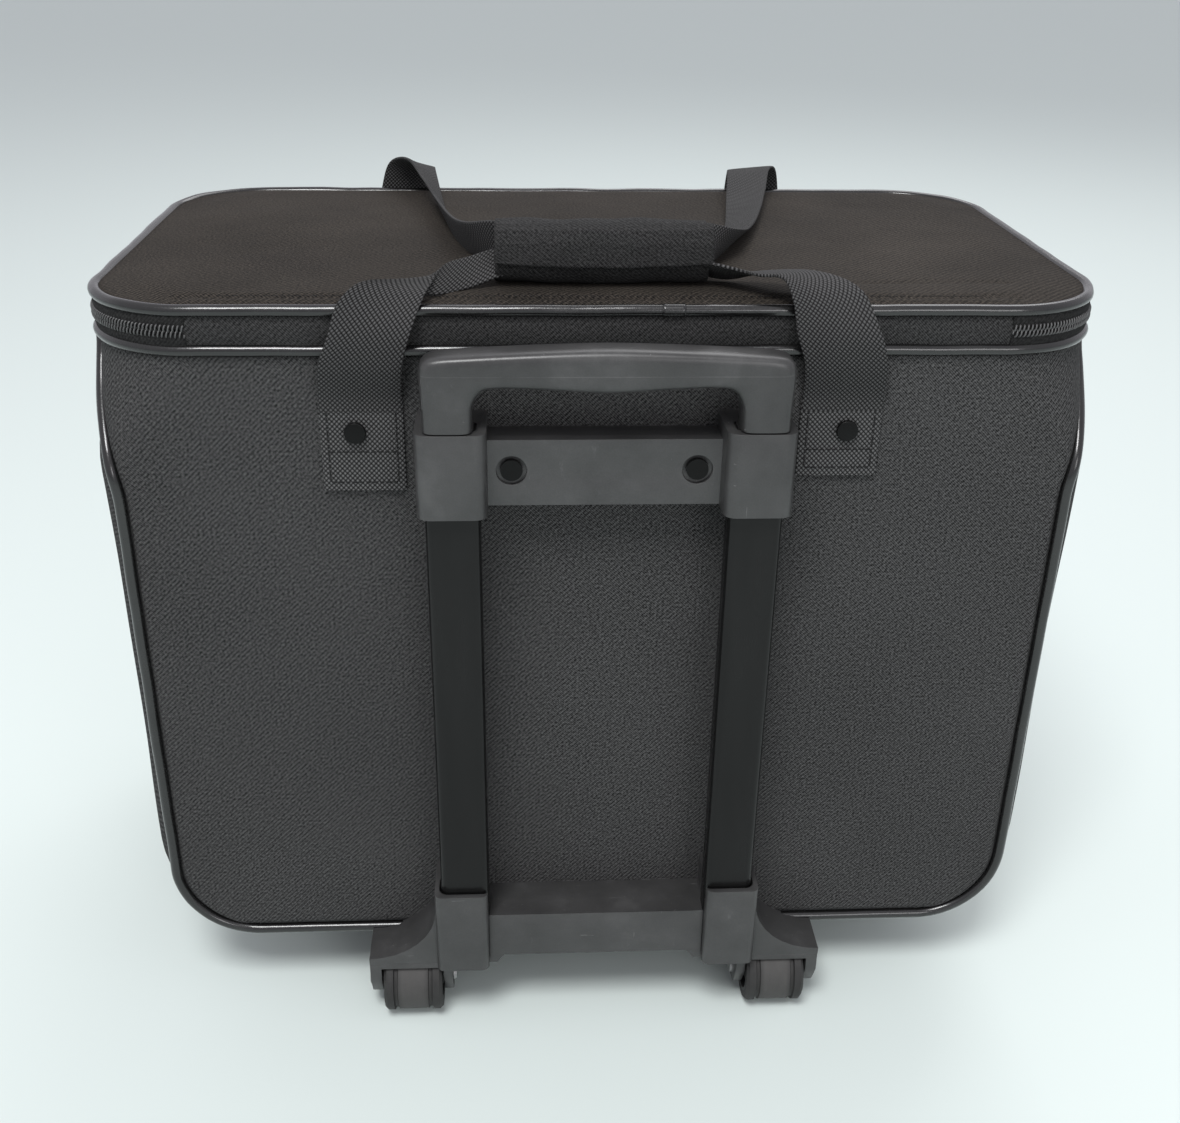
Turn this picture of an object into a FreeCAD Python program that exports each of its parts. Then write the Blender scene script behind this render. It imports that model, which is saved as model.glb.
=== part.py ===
import FreeCAD, Part

import math
import os

import Sketcher
from FreeCAD import Rotation, Vector

# Rolling laptop case. +Z is up, +X is to the right and the trolley side faces -Y.
# The origin is on the ground, at the middle of the case's bounding box.

# Driving dimensions in millimetres. Depths are counted from the trolley-side panel,
# positive into the case, and heights from the ground.
dimensions = {
    # case body and lid
    "case_width": 465, "case_depth": 257, "plan_corner": 50, "lower_corner": 15,
    "side_inset": 1.5, "lid_height": 387, "band_height": 18, "shoulder_drop": 52,
    "bottom_height": "=2 * wheel_radius + wheel_clearance", "bottom_corner": 54,
    "skin": 2, "board": 2.5, "lining": 1,
    "piping": 5.5, "piping_web": 0.5, "piping_stand": "=skin + board - piping / 2 - piping_web",
    "piping_drop": 0.7, "piping_inset": 8.5, "channel_gap": 0.4, "piping_corner": 42,
    "panel_wrap": 45, "lid_panel": 3, "divider_thick": 8, "divider_gap": 45,
    "divider_width": 340, "divider_height": 230,
    # zip and hinge strip
    "tape_thick": 1, "coil_thick": 3, "coil_height": 2.6, "coil_gap": 0.2, "hinge_run": 366,
    "hinge_thick": 1, "slider_width": 8, "slider_plate": 1.5, "slider_gap": 0.4,
    "slider_height": 11, "slider_spread": 7, "bail_bar": 1.4, "bail_stand": 2.2, "tab_length": 24,
    "tab_width": 7, "tab_thick": 1.2, "tab_eye_wall": 1.1,
    # webbing, rivets and wrap
    "strap_width": 37.5, "strap_centre": 109.25, "strap_thick": 2.5, "strap_bulge": 10,
    "patch_top": 346, "patch_height": 40, "rivet_head": 10, "rivet_height": 2, "rivet_shank": 4,
    "rivet_drop": 14.5, "rivet_shift": 3, "washer_thick": 1, "front_rise": 14, "back_rise": 18,
    "wrap_width": 97, "wrap_front": 24, "wrap_depth": 32, "wrap_height": 28, "wrap_lift": 3,
    "wrap_wall": 2.4, "wrap_corner": 8, "flap_thick": 2.2, "flap_height": 16, "flap_gap": 0.3,
    # trolley tubes
    "tube_centre": 68.5, "tube_width": 25, "tube_depth": 14, "tube_middle": 21, "tube_wall": 1,
    "tube_corner": 3.8, "stage_wall": 0.8, "guide_wall": 1, "guide_length": 26, "guide_flange": 1.5,
    "stage_gap": 0.15, "plug_length": 20, "tube_foot": "=seam_height + 4", "step_gap": 0.3,
    # upper bracket
    "trolley_reach": 33, "socket_width": 31.5, "socket_top": 341, "socket_bottom": 301,
    "socket_corner": 6, "bridge_reach": 17.5, "bridge_top": 333.2, "bridge_bottom": 301.5,
    "bracket_screw": 42, "bracket_screw_height": 318.5, "recess_depth": 2.5, "recess": 14,
    # lower bracket, wheels and feet
    "lower_reach": 26, "lower_socket_reach": 32, "lower_socket_top": "=seam_height + 49",
    "lower_bridge_top": "=seam_height + 32", "lower_bridge_bottom": "=seam_height + 5",
    "seam_height": "=2 * wheel_radius", "housing_half": 120.5, "housing_top": "=bottom_height",
    "flare_top": "=seam_height + 36", "housing_back": 14, "wheel_centre": 98, "wheel_width": 31,
    "wheel_radius": 19, "wheel_clearance": 4, "wheel_stand": 12, "wheel_gap": 1, "tyre_wall": 5,
    "groove_depth": 1.4, "axle_radius": 3, "axle_play": 0.05, "axle_head": 5, "axle_boss": 8,
    "foot_centre": 98, "foot_width": 50, "foot_depth": 28, "foot_back": 14, "screw_well": 28,
    # grip
    "grip_half": 81, "grip_depth": 18, "grip_top": 378.5, "grip_split": 367.5, "grip_bottom": 360.5,
    "grip_droop": 1.5, "grip_crown": 4, "leg_inner": 58.5, "leg_outer": 80.5, "leg_depth": 14,
    "grip_corner": 10, "pin_radius": 1.5,
    # screws
    "screw_head": 5, "screw_cap": 2.5, "screw_shank": 2, "screw_bite": 8,
}

doc = FreeCAD.newDocument("rolling_laptop_case")
sheet = doc.addObject("Spreadsheet::Sheet", "dims")
for row, (alias, number) in enumerate(dimensions.items(), start=1):
    sheet.set("A%d" % row, alias)
    sheet.set("B%d" % row, str(number))
    sheet.setAlias("B%d" % row, alias)
doc.recompute()


class Size:
    """A length with its number and the sheet expression that gives it."""

    def __init__(self, number, text):
        self.number = float(number)
        self.text = text

    @staticmethod
    def of(value):
        return value if isinstance(value, Size) else Size(value, repr(float(value)))

    def __add__(self, other):
        other = Size.of(other)
        return Size(self.number + other.number, "(%s + %s)" % (self.text, other.text))

    def __sub__(self, other):
        other = Size.of(other)
        return Size(self.number - other.number, "(%s - %s)" % (self.text, other.text))

    def __mul__(self, factor):
        return Size(self.number * factor, "(%s * %s)" % (self.text, factor))

    def __truediv__(self, factor):
        return Size(self.number / factor, "(%s / %s)" % (self.text, factor))

    def __neg__(self):
        return Size(-self.number, "(-1 * %s)" % self.text)

    def __float__(self):
        return self.number

    __radd__ = __add__
    __rmul__ = __mul__

    def __rsub__(self, other):
        return Size.of(other) - self


class Dims:
    """Every driving dimension as a Size, read from the sheet."""

    def __getattr__(self, alias):
        return Size(sheet.get(alias), "dims." + alias)


d = Dims()
subparts = []
panel = (d.trolley_reach - d.case_depth - d.strap_bulge) / 2    # y of the trolley-side panel's face
rear = panel + d.case_depth                                     # y of the back panel's face
rim = d.lid_height - d.band_height                              # height of the rim piping's centre
zip_line = d.lid_height - d.band_height / 2                     # height where the lid parts
half_width = d.case_width / 2
bead = d.piping / 2
skin_top = rim - bead
shoulder = rim - d.shoulder_drop


def keep(node, shape_object):
    """Names a finished sub-part: its Label is its node and file name."""
    shape_object.Label = node
    subparts.append(shape_object)
    return shape_object


def bind(shape_object, **values):
    for name, value in values.items():
        shape_object.setExpression(name.replace("_at_", "Placement.Base."), Size.of(value).text)
    return shape_object


def box(name, x, y, z):
    """A box between two limits on each axis."""
    x, y, z = ([Size.of(limit) for limit in pair_of] for pair_of in (x, y, z))
    made = doc.addObject("Part::Box", name)
    bind(made, Length=x[1] - x[0], Width=y[1] - y[0], Height=z[1] - z[0])
    return bind(made, _at_x=x[0], _at_y=y[0], _at_z=z[0])


def rod(name, axis, radius, start, end, centre):
    """A cylinder along x, y or z from start to end. centre holds the other two coordinates in order."""
    turn = {"x": Rotation(Vector(0, 0, 1), Vector(1, 0, 0)), "y": Rotation(Vector(0, 0, 1), Vector(0, 1, 0)),
            "z": Rotation()}
    made = doc.addObject("Part::Cylinder", name)
    made.Placement = FreeCAD.Placement(Vector(), turn[axis])
    bind(made, Radius=radius, Height=Size.of(end) - start)
    places = list(centre)
    places.insert("xyz".index(axis), start)
    return bind(made, _at_x=places[0], _at_y=places[1], _at_z=places[2])


def cut(name, base, *tools):
    for number, tool in enumerate(tools):
        made = doc.addObject("Part::Cut", "%s_%d" % (name, number))
        made.Base = base
        made.Tool = tool
        base = made
    return base


def fuse(name, *shapes):
    made = doc.addObject("Part::MultiFuse", name)
    made.Shapes = list(shapes)
    made.Refine = True
    return made


def common(name, *shapes):
    made = doc.addObject("Part::MultiCommon", name)
    made.Shapes = list(shapes)
    return made


def mirror(name, source):
    made = doc.addObject("Part::Mirroring", name)
    made.Source = source
    made.Normal = Vector(1, 0, 0)
    return made


def group(name, *shapes):
    """Separate solids that share one node."""
    made = doc.addObject("Part::Compound", name)
    made.Links = list(shapes)
    return made


def both(name, source):
    return group(name, source, mirror(name + "_mirror", source))


def edges_along(shape, axis, test=lambda middle: True):
    """Numbers of the straight edges along an axis whose middle passes the test."""
    found = []
    for number, edge in enumerate(shape.Edges, start=1):
        if len(edge.Vertexes) < 2:
            continue
        run = edge.Vertexes[-1].Point - edge.Vertexes[0].Point
        straight = abs(run.Length - edge.Length) < 1e-6 and run.Length > 1e-6
        if straight and abs(abs(run.normalize()[axis]) - 1) < 1e-6:
            middle = edge.CenterOfMass
            if test(middle):
                found.append(number)
    return found


def fillet(name, base, radius, axis, test=lambda middle: True):
    """Rounds the edges along an axis that pass the test."""
    doc.recompute()
    made = doc.addObject("Part::Fillet", name)
    made.Base = base
    size = float(radius)
    made.Edges = [(number, size, size) for number in edges_along(base.Shape, axis, test)]
    return made


def feature(name, shape):
    made = doc.addObject("Part::Feature", name)
    made.Shape = shape
    return made


def plane_of(body, role):
    return next(part for part in body.Origin.OriginFeatures if part.Role == role)


def sketch_in(body, role, points, offset=0):
    """A closed outline on one of the body's own planes, each corner bound to the sheet."""
    sketch = body.newObject("Sketcher::SketchObject", body.Name + "_outline")
    sketch.AttachmentSupport = [(plane_of(body, role), "")]
    sketch.MapMode = "FlatFace"
    sketch.setExpression("AttachmentOffset.Base.z", Size.of(offset).text)
    points = [(Size.of(across), Size.of(up)) for across, up in points]
    corners = [Vector(float(across), float(up), 0) for across, up in points]
    for start, end in zip(corners, corners[1:] + corners[:1]):
        sketch.addGeometry(Part.LineSegment(start, end), False)
    count = len(corners)
    for number, (across, up) in enumerate(points):
        sketch.addConstraint(Sketcher.Constraint("Coincident", number - 1 if number else count - 1, 2, number, 1))
    for number, (across, up) in enumerate(points):
        for kind, value in (("DistanceX", across), ("DistanceY", up)):
            index = sketch.addConstraint(Sketcher.Constraint(kind, -1, 1, number, 1, float(value)))
            sketch.setExpression("Constraints[%d]" % index, value.text)
    return sketch


def padded(name, role, points, length, offset=0, backwards=False):
    """A body made by padding one outline."""
    body = doc.addObject("PartDesign::Body", name)
    sketch = sketch_in(body, role, points, offset)
    pad = body.newObject("PartDesign::Pad", name + "_pad")
    pad.Profile = sketch
    pad.Reversed = backwards
    pad.setExpression("Length", Size.of(length).text)
    body.Tip = pad
    return body


def turned(name, points, x, y, z):
    """A body turned about an axis along x: points are (along the axis, radius)."""
    body = doc.addObject("PartDesign::Body", name)
    sketch = sketch_in(body, "XY_Plane", points)
    turn = body.newObject("PartDesign::Revolution", name + "_turn")
    turn.Profile = sketch
    turn.ReferenceAxis = (sketch, ["H_Axis"])
    turn.Angle = 360
    body.Tip = turn
    return bind(body, _at_x=x, _at_y=y, _at_z=z)


# ---- plan outlines shared by the body, the lid and the zip ----

def plan_wire(half_x, front_y, back_y, corner, height):
    """A rounded rectangle in plan as one wire."""
    half_x, front_y, back_y, corner, height = map(float, (half_x, front_y, back_y, corner, height))
    centres = [(half_x - corner, front_y + corner), (half_x - corner, back_y - corner),
               (corner - half_x, back_y - corner), (corner - half_x, front_y + corner)]
    arcs = []
    for quarter, (x, y) in enumerate(centres):
        start = math.radians(quarter * 90 - 90)
        turn = [start, start + math.pi / 4, start + math.pi / 2]
        arcs.append(Part.Arc(*[Vector(x + corner * math.cos(a), y + corner * math.sin(a), height) for a in turn]))
    edges = []
    for arc, following in zip(arcs, arcs[1:] + arcs[:1]):
        edges.append(arc.toShape())
        edges.append(Part.LineSegment(arc.EndPoint, following.StartPoint).toShape())
    return Part.Wire(edges)


def plan_slab(inset, low, high):
    """The rim's outline, inset, as a solid between two heights."""
    inset = float(inset)
    wire = plan_wire(half_width - inset, panel + inset, rear - inset, d.plan_corner - inset, low)
    return Part.Face(wire).extrude(Vector(0, 0, float(high) - float(low)))


def plan_ring(outset, inset, low, high):
    return plan_slab(-float(outset), low, high).cut(plan_slab(inset, low, high))


def bead_along(wire, start, direction, radius):
    """A round bead swept along a wire."""
    circle = Part.Wire(Part.makeCircle(float(radius), start, direction))
    return wire.makePipeShell([circle], True, False)


def plan_bead(height):
    wire = plan_wire(half_width, panel, rear, d.plan_corner, height)
    return Part.Solid(bead_along(wire, wire.Edges[0].Vertexes[0].Point, Vector(1, 0, 0), bead))


# ---- layered walls of the case body ----

def case_block(inset, rise=0):
    """The body's outer form, inset on every wall, with its top raised by rise."""
    inset = float(inset)
    lower_half = half_width - d.side_inset - inset
    front_y, back_y = panel + inset, rear - inset
    top_wire = plan_wire(half_width - inset, front_y, back_y, d.plan_corner - inset, skin_top)
    low_wire = plan_wire(lower_half, front_y, back_y, d.lower_corner - inset, shoulder)
    shoulders = Part.makeLoft([low_wire, top_wire], True, True)
    bottom = float(d.bottom_height) + inset
    height = float(shoulder) - bottom
    plan = plan_wire(lower_half, front_y, back_y, d.lower_corner - inset, bottom)
    prism = Part.Face(plan).extrude(Vector(0, 0, height))
    depth = float(back_y) - float(front_y)
    arch = Part.makeBox(2 * float(lower_half), depth, 2 * height,
                        Vector(-float(lower_half), float(front_y), bottom))
    low_edges = [arch.Edges[n - 1] for n in edges_along(arch, 1, lambda middle: middle.z < bottom + 1)]
    arch = arch.makeFillet(float(d.bottom_corner) - inset, low_edges)
    block = prism.common(arch).fuse(shoulders)
    if rise:
        block = block.fuse(Part.Face(top_wire).extrude(Vector(0, 0, rise)))
    return block


def layer(outer_inset, inner_inset):
    return case_block(outer_inset).cut(case_block(inner_inset, 10))


def side_region(face_y, sign, stand, wrap):
    """The space that belongs to the front or back panel: it wraps round the corners near the rim."""
    far = float(face_y) - sign * 60
    near = float(face_y) + sign * float(stand)
    deep = float(face_y) + sign * float(wrap)
    top = float(d.lid_height)
    outline = [(far, 0), (near, 0), (near, float(shoulder)), (deep, float(skin_top)), (deep, top), (far, top)]
    points = [Vector(-float(half_width) - 20, y, z) for y, z in outline]
    return Part.Face(Part.makePolygon(points + points[:1])).extrude(Vector(float(d.case_width) + 40, 0, 0))


def panel_bead(face_y, sign):
    """Piping down both sides and across the bottom of the front or back panel."""
    y = float(face_y) + sign * float(d.piping_stand)
    x = float(half_width - d.side_inset - d.piping_inset)
    low = float(d.bottom_height) - float(d.piping_drop)
    corner = float(d.piping_corner)
    high = float(shoulder)
    slope = corner * (1 - math.sqrt(0.5))
    rail = [Part.LineSegment(Vector(-x, y, high), Vector(-x, y, low + corner)).toShape(),
            Part.Arc(Vector(-x, y, low + corner), Vector(-x + slope, y, low + slope),
                     Vector(-x + corner, y, low)).toShape(),
            Part.LineSegment(Vector(-x + corner, y, low), Vector(x - corner, y, low)).toShape(),
            Part.Arc(Vector(x - corner, y, low), Vector(x - slope, y, low + slope),
                     Vector(x, y, low + corner)).toShape(),
            Part.LineSegment(Vector(x, y, low + corner), Vector(x, y, high)).toShape()]
    radius = float(bead)
    tube = Part.Solid(bead_along(Part.Wire(rail), Vector(-x, y, high), Vector(0, 0, -1), radius))
    for side in (-1, 1):
        foot = Vector(side * x, y, high)
        head = Vector(side * float(half_width), float(face_y) + sign * float(d.panel_wrap), float(skin_top) - radius)
        run = head - foot
        tube = tube.fuse(Part.makeCylinder(radius, run.Length, foot, run))
        tube = tube.fuse(Part.makeSphere(radius, foot))
        tube = tube.fuse(Part.makeSphere(radius, head))
    return tube.removeSplitter()


def drilled(shape, holes):
    """Cuts screw and rivet holes along Y: each hole is (x, height, radius, start, length)."""
    for x, height, radius, start, length in holes:
        place = Vector(float(x), float(start), float(height))
        shape = shape.cut(Part.makeCylinder(float(radius), float(length), place, Vector(0, 1, 0)))
    return shape


def main_solid(shape):
    """The wall itself, without the slivers that a piping groove cuts off it."""
    return max(shape.Solids, key=lambda solid: solid.Volume)


patch_middle = d.patch_top - d.rivet_drop
rivet_x = d.strap_centre + d.rivet_shift
lower_screw_height = (d.lower_bridge_top + d.lower_bridge_bottom) / 2
front_holes = []
back_holes = []
for side in (-1, 1):
    through = [(rivet_x, patch_middle, d.rivet_shank / 2), (d.bracket_screw, d.bracket_screw_height, d.screw_shank),
               (d.bracket_screw, lower_screw_height, d.screw_shank)]
    for x, height, radius in through:
        front_holes.append((side * float(x), height, radius, panel - 1, 12))
    back_holes.append((side * float(rivet_x), patch_middle, d.rivet_shank / 2, rear - 11, 12))

skins = layer(0, d.skin)
boards = layer(d.skin, d.skin + d.board)
front_space = side_region(panel, 1, d.skin, d.panel_wrap)
back_space = side_region(rear, -1, d.skin, d.panel_wrap)
front_bead = panel_bead(panel, 1)
back_bead = panel_bead(rear, -1)
front_skin = drilled(skins.common(front_space).cut(front_bead), front_holes)
keep("front_panel", feature("front_panel", main_solid(front_skin)))
back_skin = drilled(skins.common(back_space).cut(back_bead), back_holes)
keep("back_panel", feature("back_panel", main_solid(back_skin)))
gusset = skins.cut(front_space).cut(back_space).cut(front_bead).cut(back_bead)
keep("gusset", feature("gusset", main_solid(gusset)))
keep("front_piping", feature("front_piping", front_bead))
keep("back_piping", feature("back_piping", back_bead))

board_depth = d.skin + d.board
front_slab = side_region(panel, 1, board_depth, board_depth)
back_slab = side_region(rear, -1, board_depth, board_depth)
keep("front_board", feature("front_board", drilled(boards.common(front_slab).cut(front_bead), front_holes)))
keep("back_board", feature("back_board", drilled(boards.common(back_slab).cut(back_bead), back_holes)))
frame_board = boards.cut(front_slab).cut(back_slab).cut(front_bead).cut(back_bead)
keep("gusset_board", feature("gusset_board", main_solid(frame_board)))
wall = board_depth + d.lining
bag = drilled(layer(board_depth, wall), front_holes + back_holes)
keep("lining", feature("lining", bag))
keep("rim_piping", feature("rim_piping", plan_bead(rim)))

divider_back = rear - d.divider_gap
keep("laptop_divider", fillet("laptop_divider", box(
    "divider_foam", (-d.divider_width / 2, d.divider_width / 2), (divider_back - d.divider_thick, divider_back),
    (d.bottom_height + wall, d.bottom_height + wall + d.divider_height)), 12, 1))

# ---- zip and hinge strip ----
clear_run = box("hinge_clearance", (-d.hinge_run / 2, d.hinge_run / 2), (panel - 10, panel + 10), (rim, d.lid_height))
coil_low = zip_line - d.coil_gap / 2
coil_high = zip_line + d.coil_gap / 2


def zip_part(node, outset, inset, low, high):
    ring = feature(node + "_ring", plan_ring(outset, inset, low, high))
    return keep(node, cut(node, ring, clear_run))


zip_part("zip_tape_lower", 0, d.tape_thick, rim + bead, coil_low - d.coil_height)
zip_part("zip_tape_upper", 0, d.tape_thick, coil_high + d.coil_height, d.lid_height - bead)
zip_part("zip_coil_lower", d.coil_thick / 2, d.coil_thick / 2, coil_low - d.coil_height, coil_low)
zip_part("zip_coil_upper", d.coil_thick / 2, d.coil_thick / 2, coil_high, coil_high + d.coil_height)
keep("hinge_strip", box("hinge_strip", (-d.hinge_run / 2, d.hinge_run / 2),
                        (panel - d.hinge_thick / 2, panel + d.hinge_thick / 2), (rim + bead, d.lid_height - bead)))

slider_front = rear + d.coil_thick / 2 + d.slider_gap
slider_back = slider_front + d.slider_plate
flange_front = rear + d.slider_gap
flange = d.slider_plate
bail_y = slider_back + d.bail_stand
eye_radius = d.bail_bar / 2 + 0.08
eye_outer = eye_radius + d.tab_eye_wall
for side, name in ((-1, "left"), (1, "right")):
    middle = side * d.slider_spread
    x = (middle - d.slider_width / 2, middle + d.slider_width / 2)
    low = zip_line - d.slider_height / 2
    high = zip_line + d.slider_height / 2
    plate = box("slider_plate_" + name, x, (slider_front, slider_back), (low, high))
    low_flange = box("low_flange_" + name, x, (flange_front, slider_front), (low, low + flange))
    high_flange = box("high_flange_" + name, x, (flange_front, slider_front), (high - flange, high))
    bar = rod("bail_bar_" + name, "x", d.bail_bar / 2, x[0] + 0.5, x[1] - 0.5, (bail_y, zip_line))
    posts = []
    for number, end in enumerate((x[0] + 0.5, x[1] - 0.5 - d.bail_bar)):
        posts.append(box("bail_post_%s_%d" % (name, number), (end, end + d.bail_bar),
                         (slider_back, bail_y + d.bail_bar / 2),
                         (zip_line - d.bail_bar / 2, zip_line + d.bail_bar / 2)))
    keep("slider_" + name, fuse("slider_" + name, plate, low_flange, high_flange, bar, *posts))
    eye_half = d.slider_width / 2 - 0.5 - d.bail_bar - 0.3
    eye = rod("tab_eye_" + name, "x", eye_outer, middle - eye_half, middle + eye_half, (bail_y, zip_line))
    blade = box("tab_blade_" + name, (middle - d.tab_width / 2, middle + d.tab_width / 2),
                (bail_y - d.tab_thick / 2, bail_y + d.tab_thick / 2),
                (zip_line - d.tab_length, zip_line - eye_radius - 0.6))
    hole = rod("tab_hole_" + name, "x", eye_radius, x[0] - 1, x[1] + 1, (bail_y, zip_line))
    blade_shape = cut("blade_relief_" + name, blade, box(
        "post_clearance_" + name, (x[0] - 2, x[1] + 2), (slider_back, bail_y + 3),
        (zip_line - d.bail_bar - 1, zip_line + 2)))
    neck = box("tab_neck_" + name, (middle - eye_half, middle + eye_half),
               (bail_y - d.tab_thick / 2, bail_y + d.tab_thick / 2), (zip_line - 4, zip_line - eye_radius))
    keep("pull_tab_" + name, cut("pull_tab_" + name, fuse("tab_" + name, eye, neck, blade_shape), hole))

# ---- webbing patches, rivets and washers ----
for node, near, far in (("front_patches", panel - d.strap_thick, panel), ("back_patches", rear, rear + d.strap_thick)):
    patch = box(node + "_webbing", (d.strap_centre - d.strap_width / 2, d.strap_centre + d.strap_width / 2),
                (near, far), (d.patch_top - d.patch_height, d.patch_top))
    hole = rod(node + "_hole", "y", d.rivet_shank / 2, near - 1, far + 1, (rivet_x, patch_middle))
    keep(node, both(node, cut(node + "_pierced", patch, hole)))

rivets = []
washers = []
for face, sign, name in ((panel, 1, "front"), (rear, -1, "back")):
    outer = face - sign * d.strap_thick
    inner = face + sign * (wall + d.washer_thick + 1)
    stem = (outer, inner) if sign > 0 else (inner, outer)
    head = (outer - d.rivet_height, outer) if sign > 0 else (outer, outer + d.rivet_height)
    tail = (inner - 1, inner) if sign > 0 else (inner, inner + 1)
    place = (rivet_x, patch_middle)
    rivets.append(fuse("rivet_" + name, rod("rivet_stem_" + name, "y", d.rivet_shank / 2, *stem, place),
                       rod("rivet_head_" + name, "y", d.rivet_head / 2, *head, place),
                       rod("rivet_tail_" + name, "y", d.rivet_shank * 0.75, *tail, place)))
    seat = face + sign * wall
    span = (seat, seat + d.washer_thick) if sign > 0 else (seat - d.washer_thick, seat)
    washers.append(cut("washer_" + name, rod("washer_disc_" + name, "y", d.rivet_head / 2, *span, place),
                       rod("washer_hole_" + name, "y", d.rivet_shank / 2, span[0] - 1, span[1] + 1, place)))
keep("patch_rivets", group("patch_rivets", *rivets, *[mirror(r.Name + "_mirror", r) for r in rivets]))
keep("rivet_washers", group("rivet_washers", *washers, *[mirror(w.Name + "_mirror", w) for w in washers]))


# ---- carry handle ----
def webbing_leg(name, path, x_low, x_high):
    """Flat webbing that follows a side outline between two widths."""
    return padded(name, "YZ_Plane", path, x_high - x_low, offset=x_low)


wrap_low = d.lid_height + d.wrap_lift
wrap_y = (panel + d.wrap_front, panel + d.wrap_front + d.wrap_depth)
strap_in = d.strap_centre - d.strap_width / 2
strap_out = d.strap_centre + d.strap_width / 2
lid_z = d.lid_height
thick = d.strap_thick
inside = d.wrap_width / 2 + 1
wrap_in_y = (wrap_y[0] + d.wrap_wall + 0.5, wrap_y[1] - d.wrap_wall - 0.5)


def strap(node, face, sign, rise, turn, bar_y):
    """One webbing strap: two legs up from the patches, over the lid and into the wrap."""
    bulge = d.strap_bulge
    y_of = lambda out: face - sign * out
    outer_line = [(y_of(thick + 2), d.patch_top), (y_of(bulge), d.patch_top + 19), (y_of(bulge), lid_z - 2),
                  (y_of(bulge - 4), lid_z + rise - 5), (y_of(-6), lid_z + rise), (y_of(-turn), lid_z + rise)]
    inner_line = [(y_of(-turn), lid_z + rise - thick), (y_of(-6), lid_z + rise - thick),
                  (y_of(bulge - 4 - thick), lid_z + rise - 5 - thick), (y_of(bulge - thick), lid_z - 3),
                  (y_of(bulge - thick), d.patch_top + 20), (y_of(2), d.patch_top)]
    leg = webbing_leg(node + "_leg", outer_line + inner_line, strap_in, strap_out)
    sweep_points = [(strap_out, y_of(-turn + 3)), (strap_in, y_of(-turn + 3)), (inside, bar_y[0]), (inside, bar_y[1]),
                    (inside + 16, bar_y[1])]
    if sign < 0:
        sweep_points = [(strap_out, y_of(-turn + 3)), (strap_in, y_of(-turn + 3)), (inside, bar_y[1]),
                        (inside, bar_y[0]), (inside + 16, bar_y[0])]
    across = padded(node + "_sweep", "XY_Plane", sweep_points, thick, offset=lid_z + rise - thick)
    bar = box(node + "_bar", (-inside, inside), bar_y, (lid_z + rise - thick, lid_z + rise))
    return keep(node, fuse(node, leg, mirror(node + "_leg_mirror", leg), across,
                           mirror(node + "_sweep_mirror", across), bar))


strap("front_strap", panel, 1, d.front_rise, d.wrap_front - 4, wrap_in_y)
strap("back_strap", rear, -1, d.back_rise, d.wrap_front + 6, wrap_in_y)

sleeve_x = (-d.wrap_width / 2, d.wrap_width / 2)
sleeve_outer = fillet("sleeve_outer", box("sleeve_block", sleeve_x, wrap_y, (wrap_low, wrap_low + d.wrap_height)),
                      d.wrap_corner, 0)
sleeve_inner = fillet("sleeve_inner", box(
    "sleeve_hollow", (sleeve_x[0] - 1, sleeve_x[1] + 1), (wrap_y[0] + d.wrap_wall, wrap_y[1] - d.wrap_wall),
    (wrap_low + d.wrap_wall, wrap_low + d.wrap_height - d.wrap_wall)), d.wrap_corner - d.wrap_wall, 0)
keep("wrap_sleeve", cut("wrap_sleeve", sleeve_outer, sleeve_inner))
flap_z = wrap_low + d.wrap_height - d.wrap_corner
keep("wrap_flap", box("wrap_flap", sleeve_x, (wrap_y[0] - d.flap_gap - d.flap_thick, wrap_y[0] - d.flap_gap),
                      (flap_z - d.flap_height + 6, flap_z + 6)))

# ---- lid ----
lid_low = d.lid_height + 1.2 - d.lid_panel
keep("lid_panel", feature("lid_panel", plan_slab(bead, lid_low, d.lid_height + 1.2)))
keep("lid_board", feature("lid_board", plan_slab(wall, lid_low - d.board, lid_low)))
keep("lid_lining", feature("lid_lining", plan_slab(wall, lid_low - d.board - d.lining, lid_low - d.board)))
keep("lid_piping", feature("lid_piping", plan_bead(d.lid_height)))

# ---- trolley tubes ----
tube_y = panel - d.tube_middle


def tube_solid(name, shrink, low, high):
    """The tube's outline, shrunk on every side, as a solid."""
    block = box(name + "_block", (d.tube_centre - d.tube_width / 2 + shrink, d.tube_centre + d.tube_width / 2 - shrink),
                (tube_y - d.tube_depth / 2 + shrink, tube_y + d.tube_depth / 2 - shrink), (low, high))
    return fillet(name, block, max(float(d.tube_corner) - float(shrink), 0.6), 2)


def sleeve(name, outer_shrink, inner_shrink, low, high):
    return cut(name, tube_solid(name + "_outside", outer_shrink, low, high),
               tube_solid(name + "_inside", inner_shrink, low - 1, high + 1))


def left_and_right(node, right):
    keep(node + "_right", right)
    keep(node + "_left", mirror(node + "_left", right))


outer_top = d.socket_top - d.guide_flange - 1
outer_bore = Size.of(d.tube_wall)
middle_skin = outer_bore + d.guide_wall + d.stage_gap
middle_bore = middle_skin + d.stage_wall
inner_skin = middle_bore + d.guide_wall + d.stage_gap
inner_bore = inner_skin + d.stage_wall
middle_top = outer_top + d.guide_flange
middle_foot = d.tube_foot + 8
inner_foot = middle_foot + d.plug_length + 5
grip_seat = middle_top + d.guide_flange + d.step_gap

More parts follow.
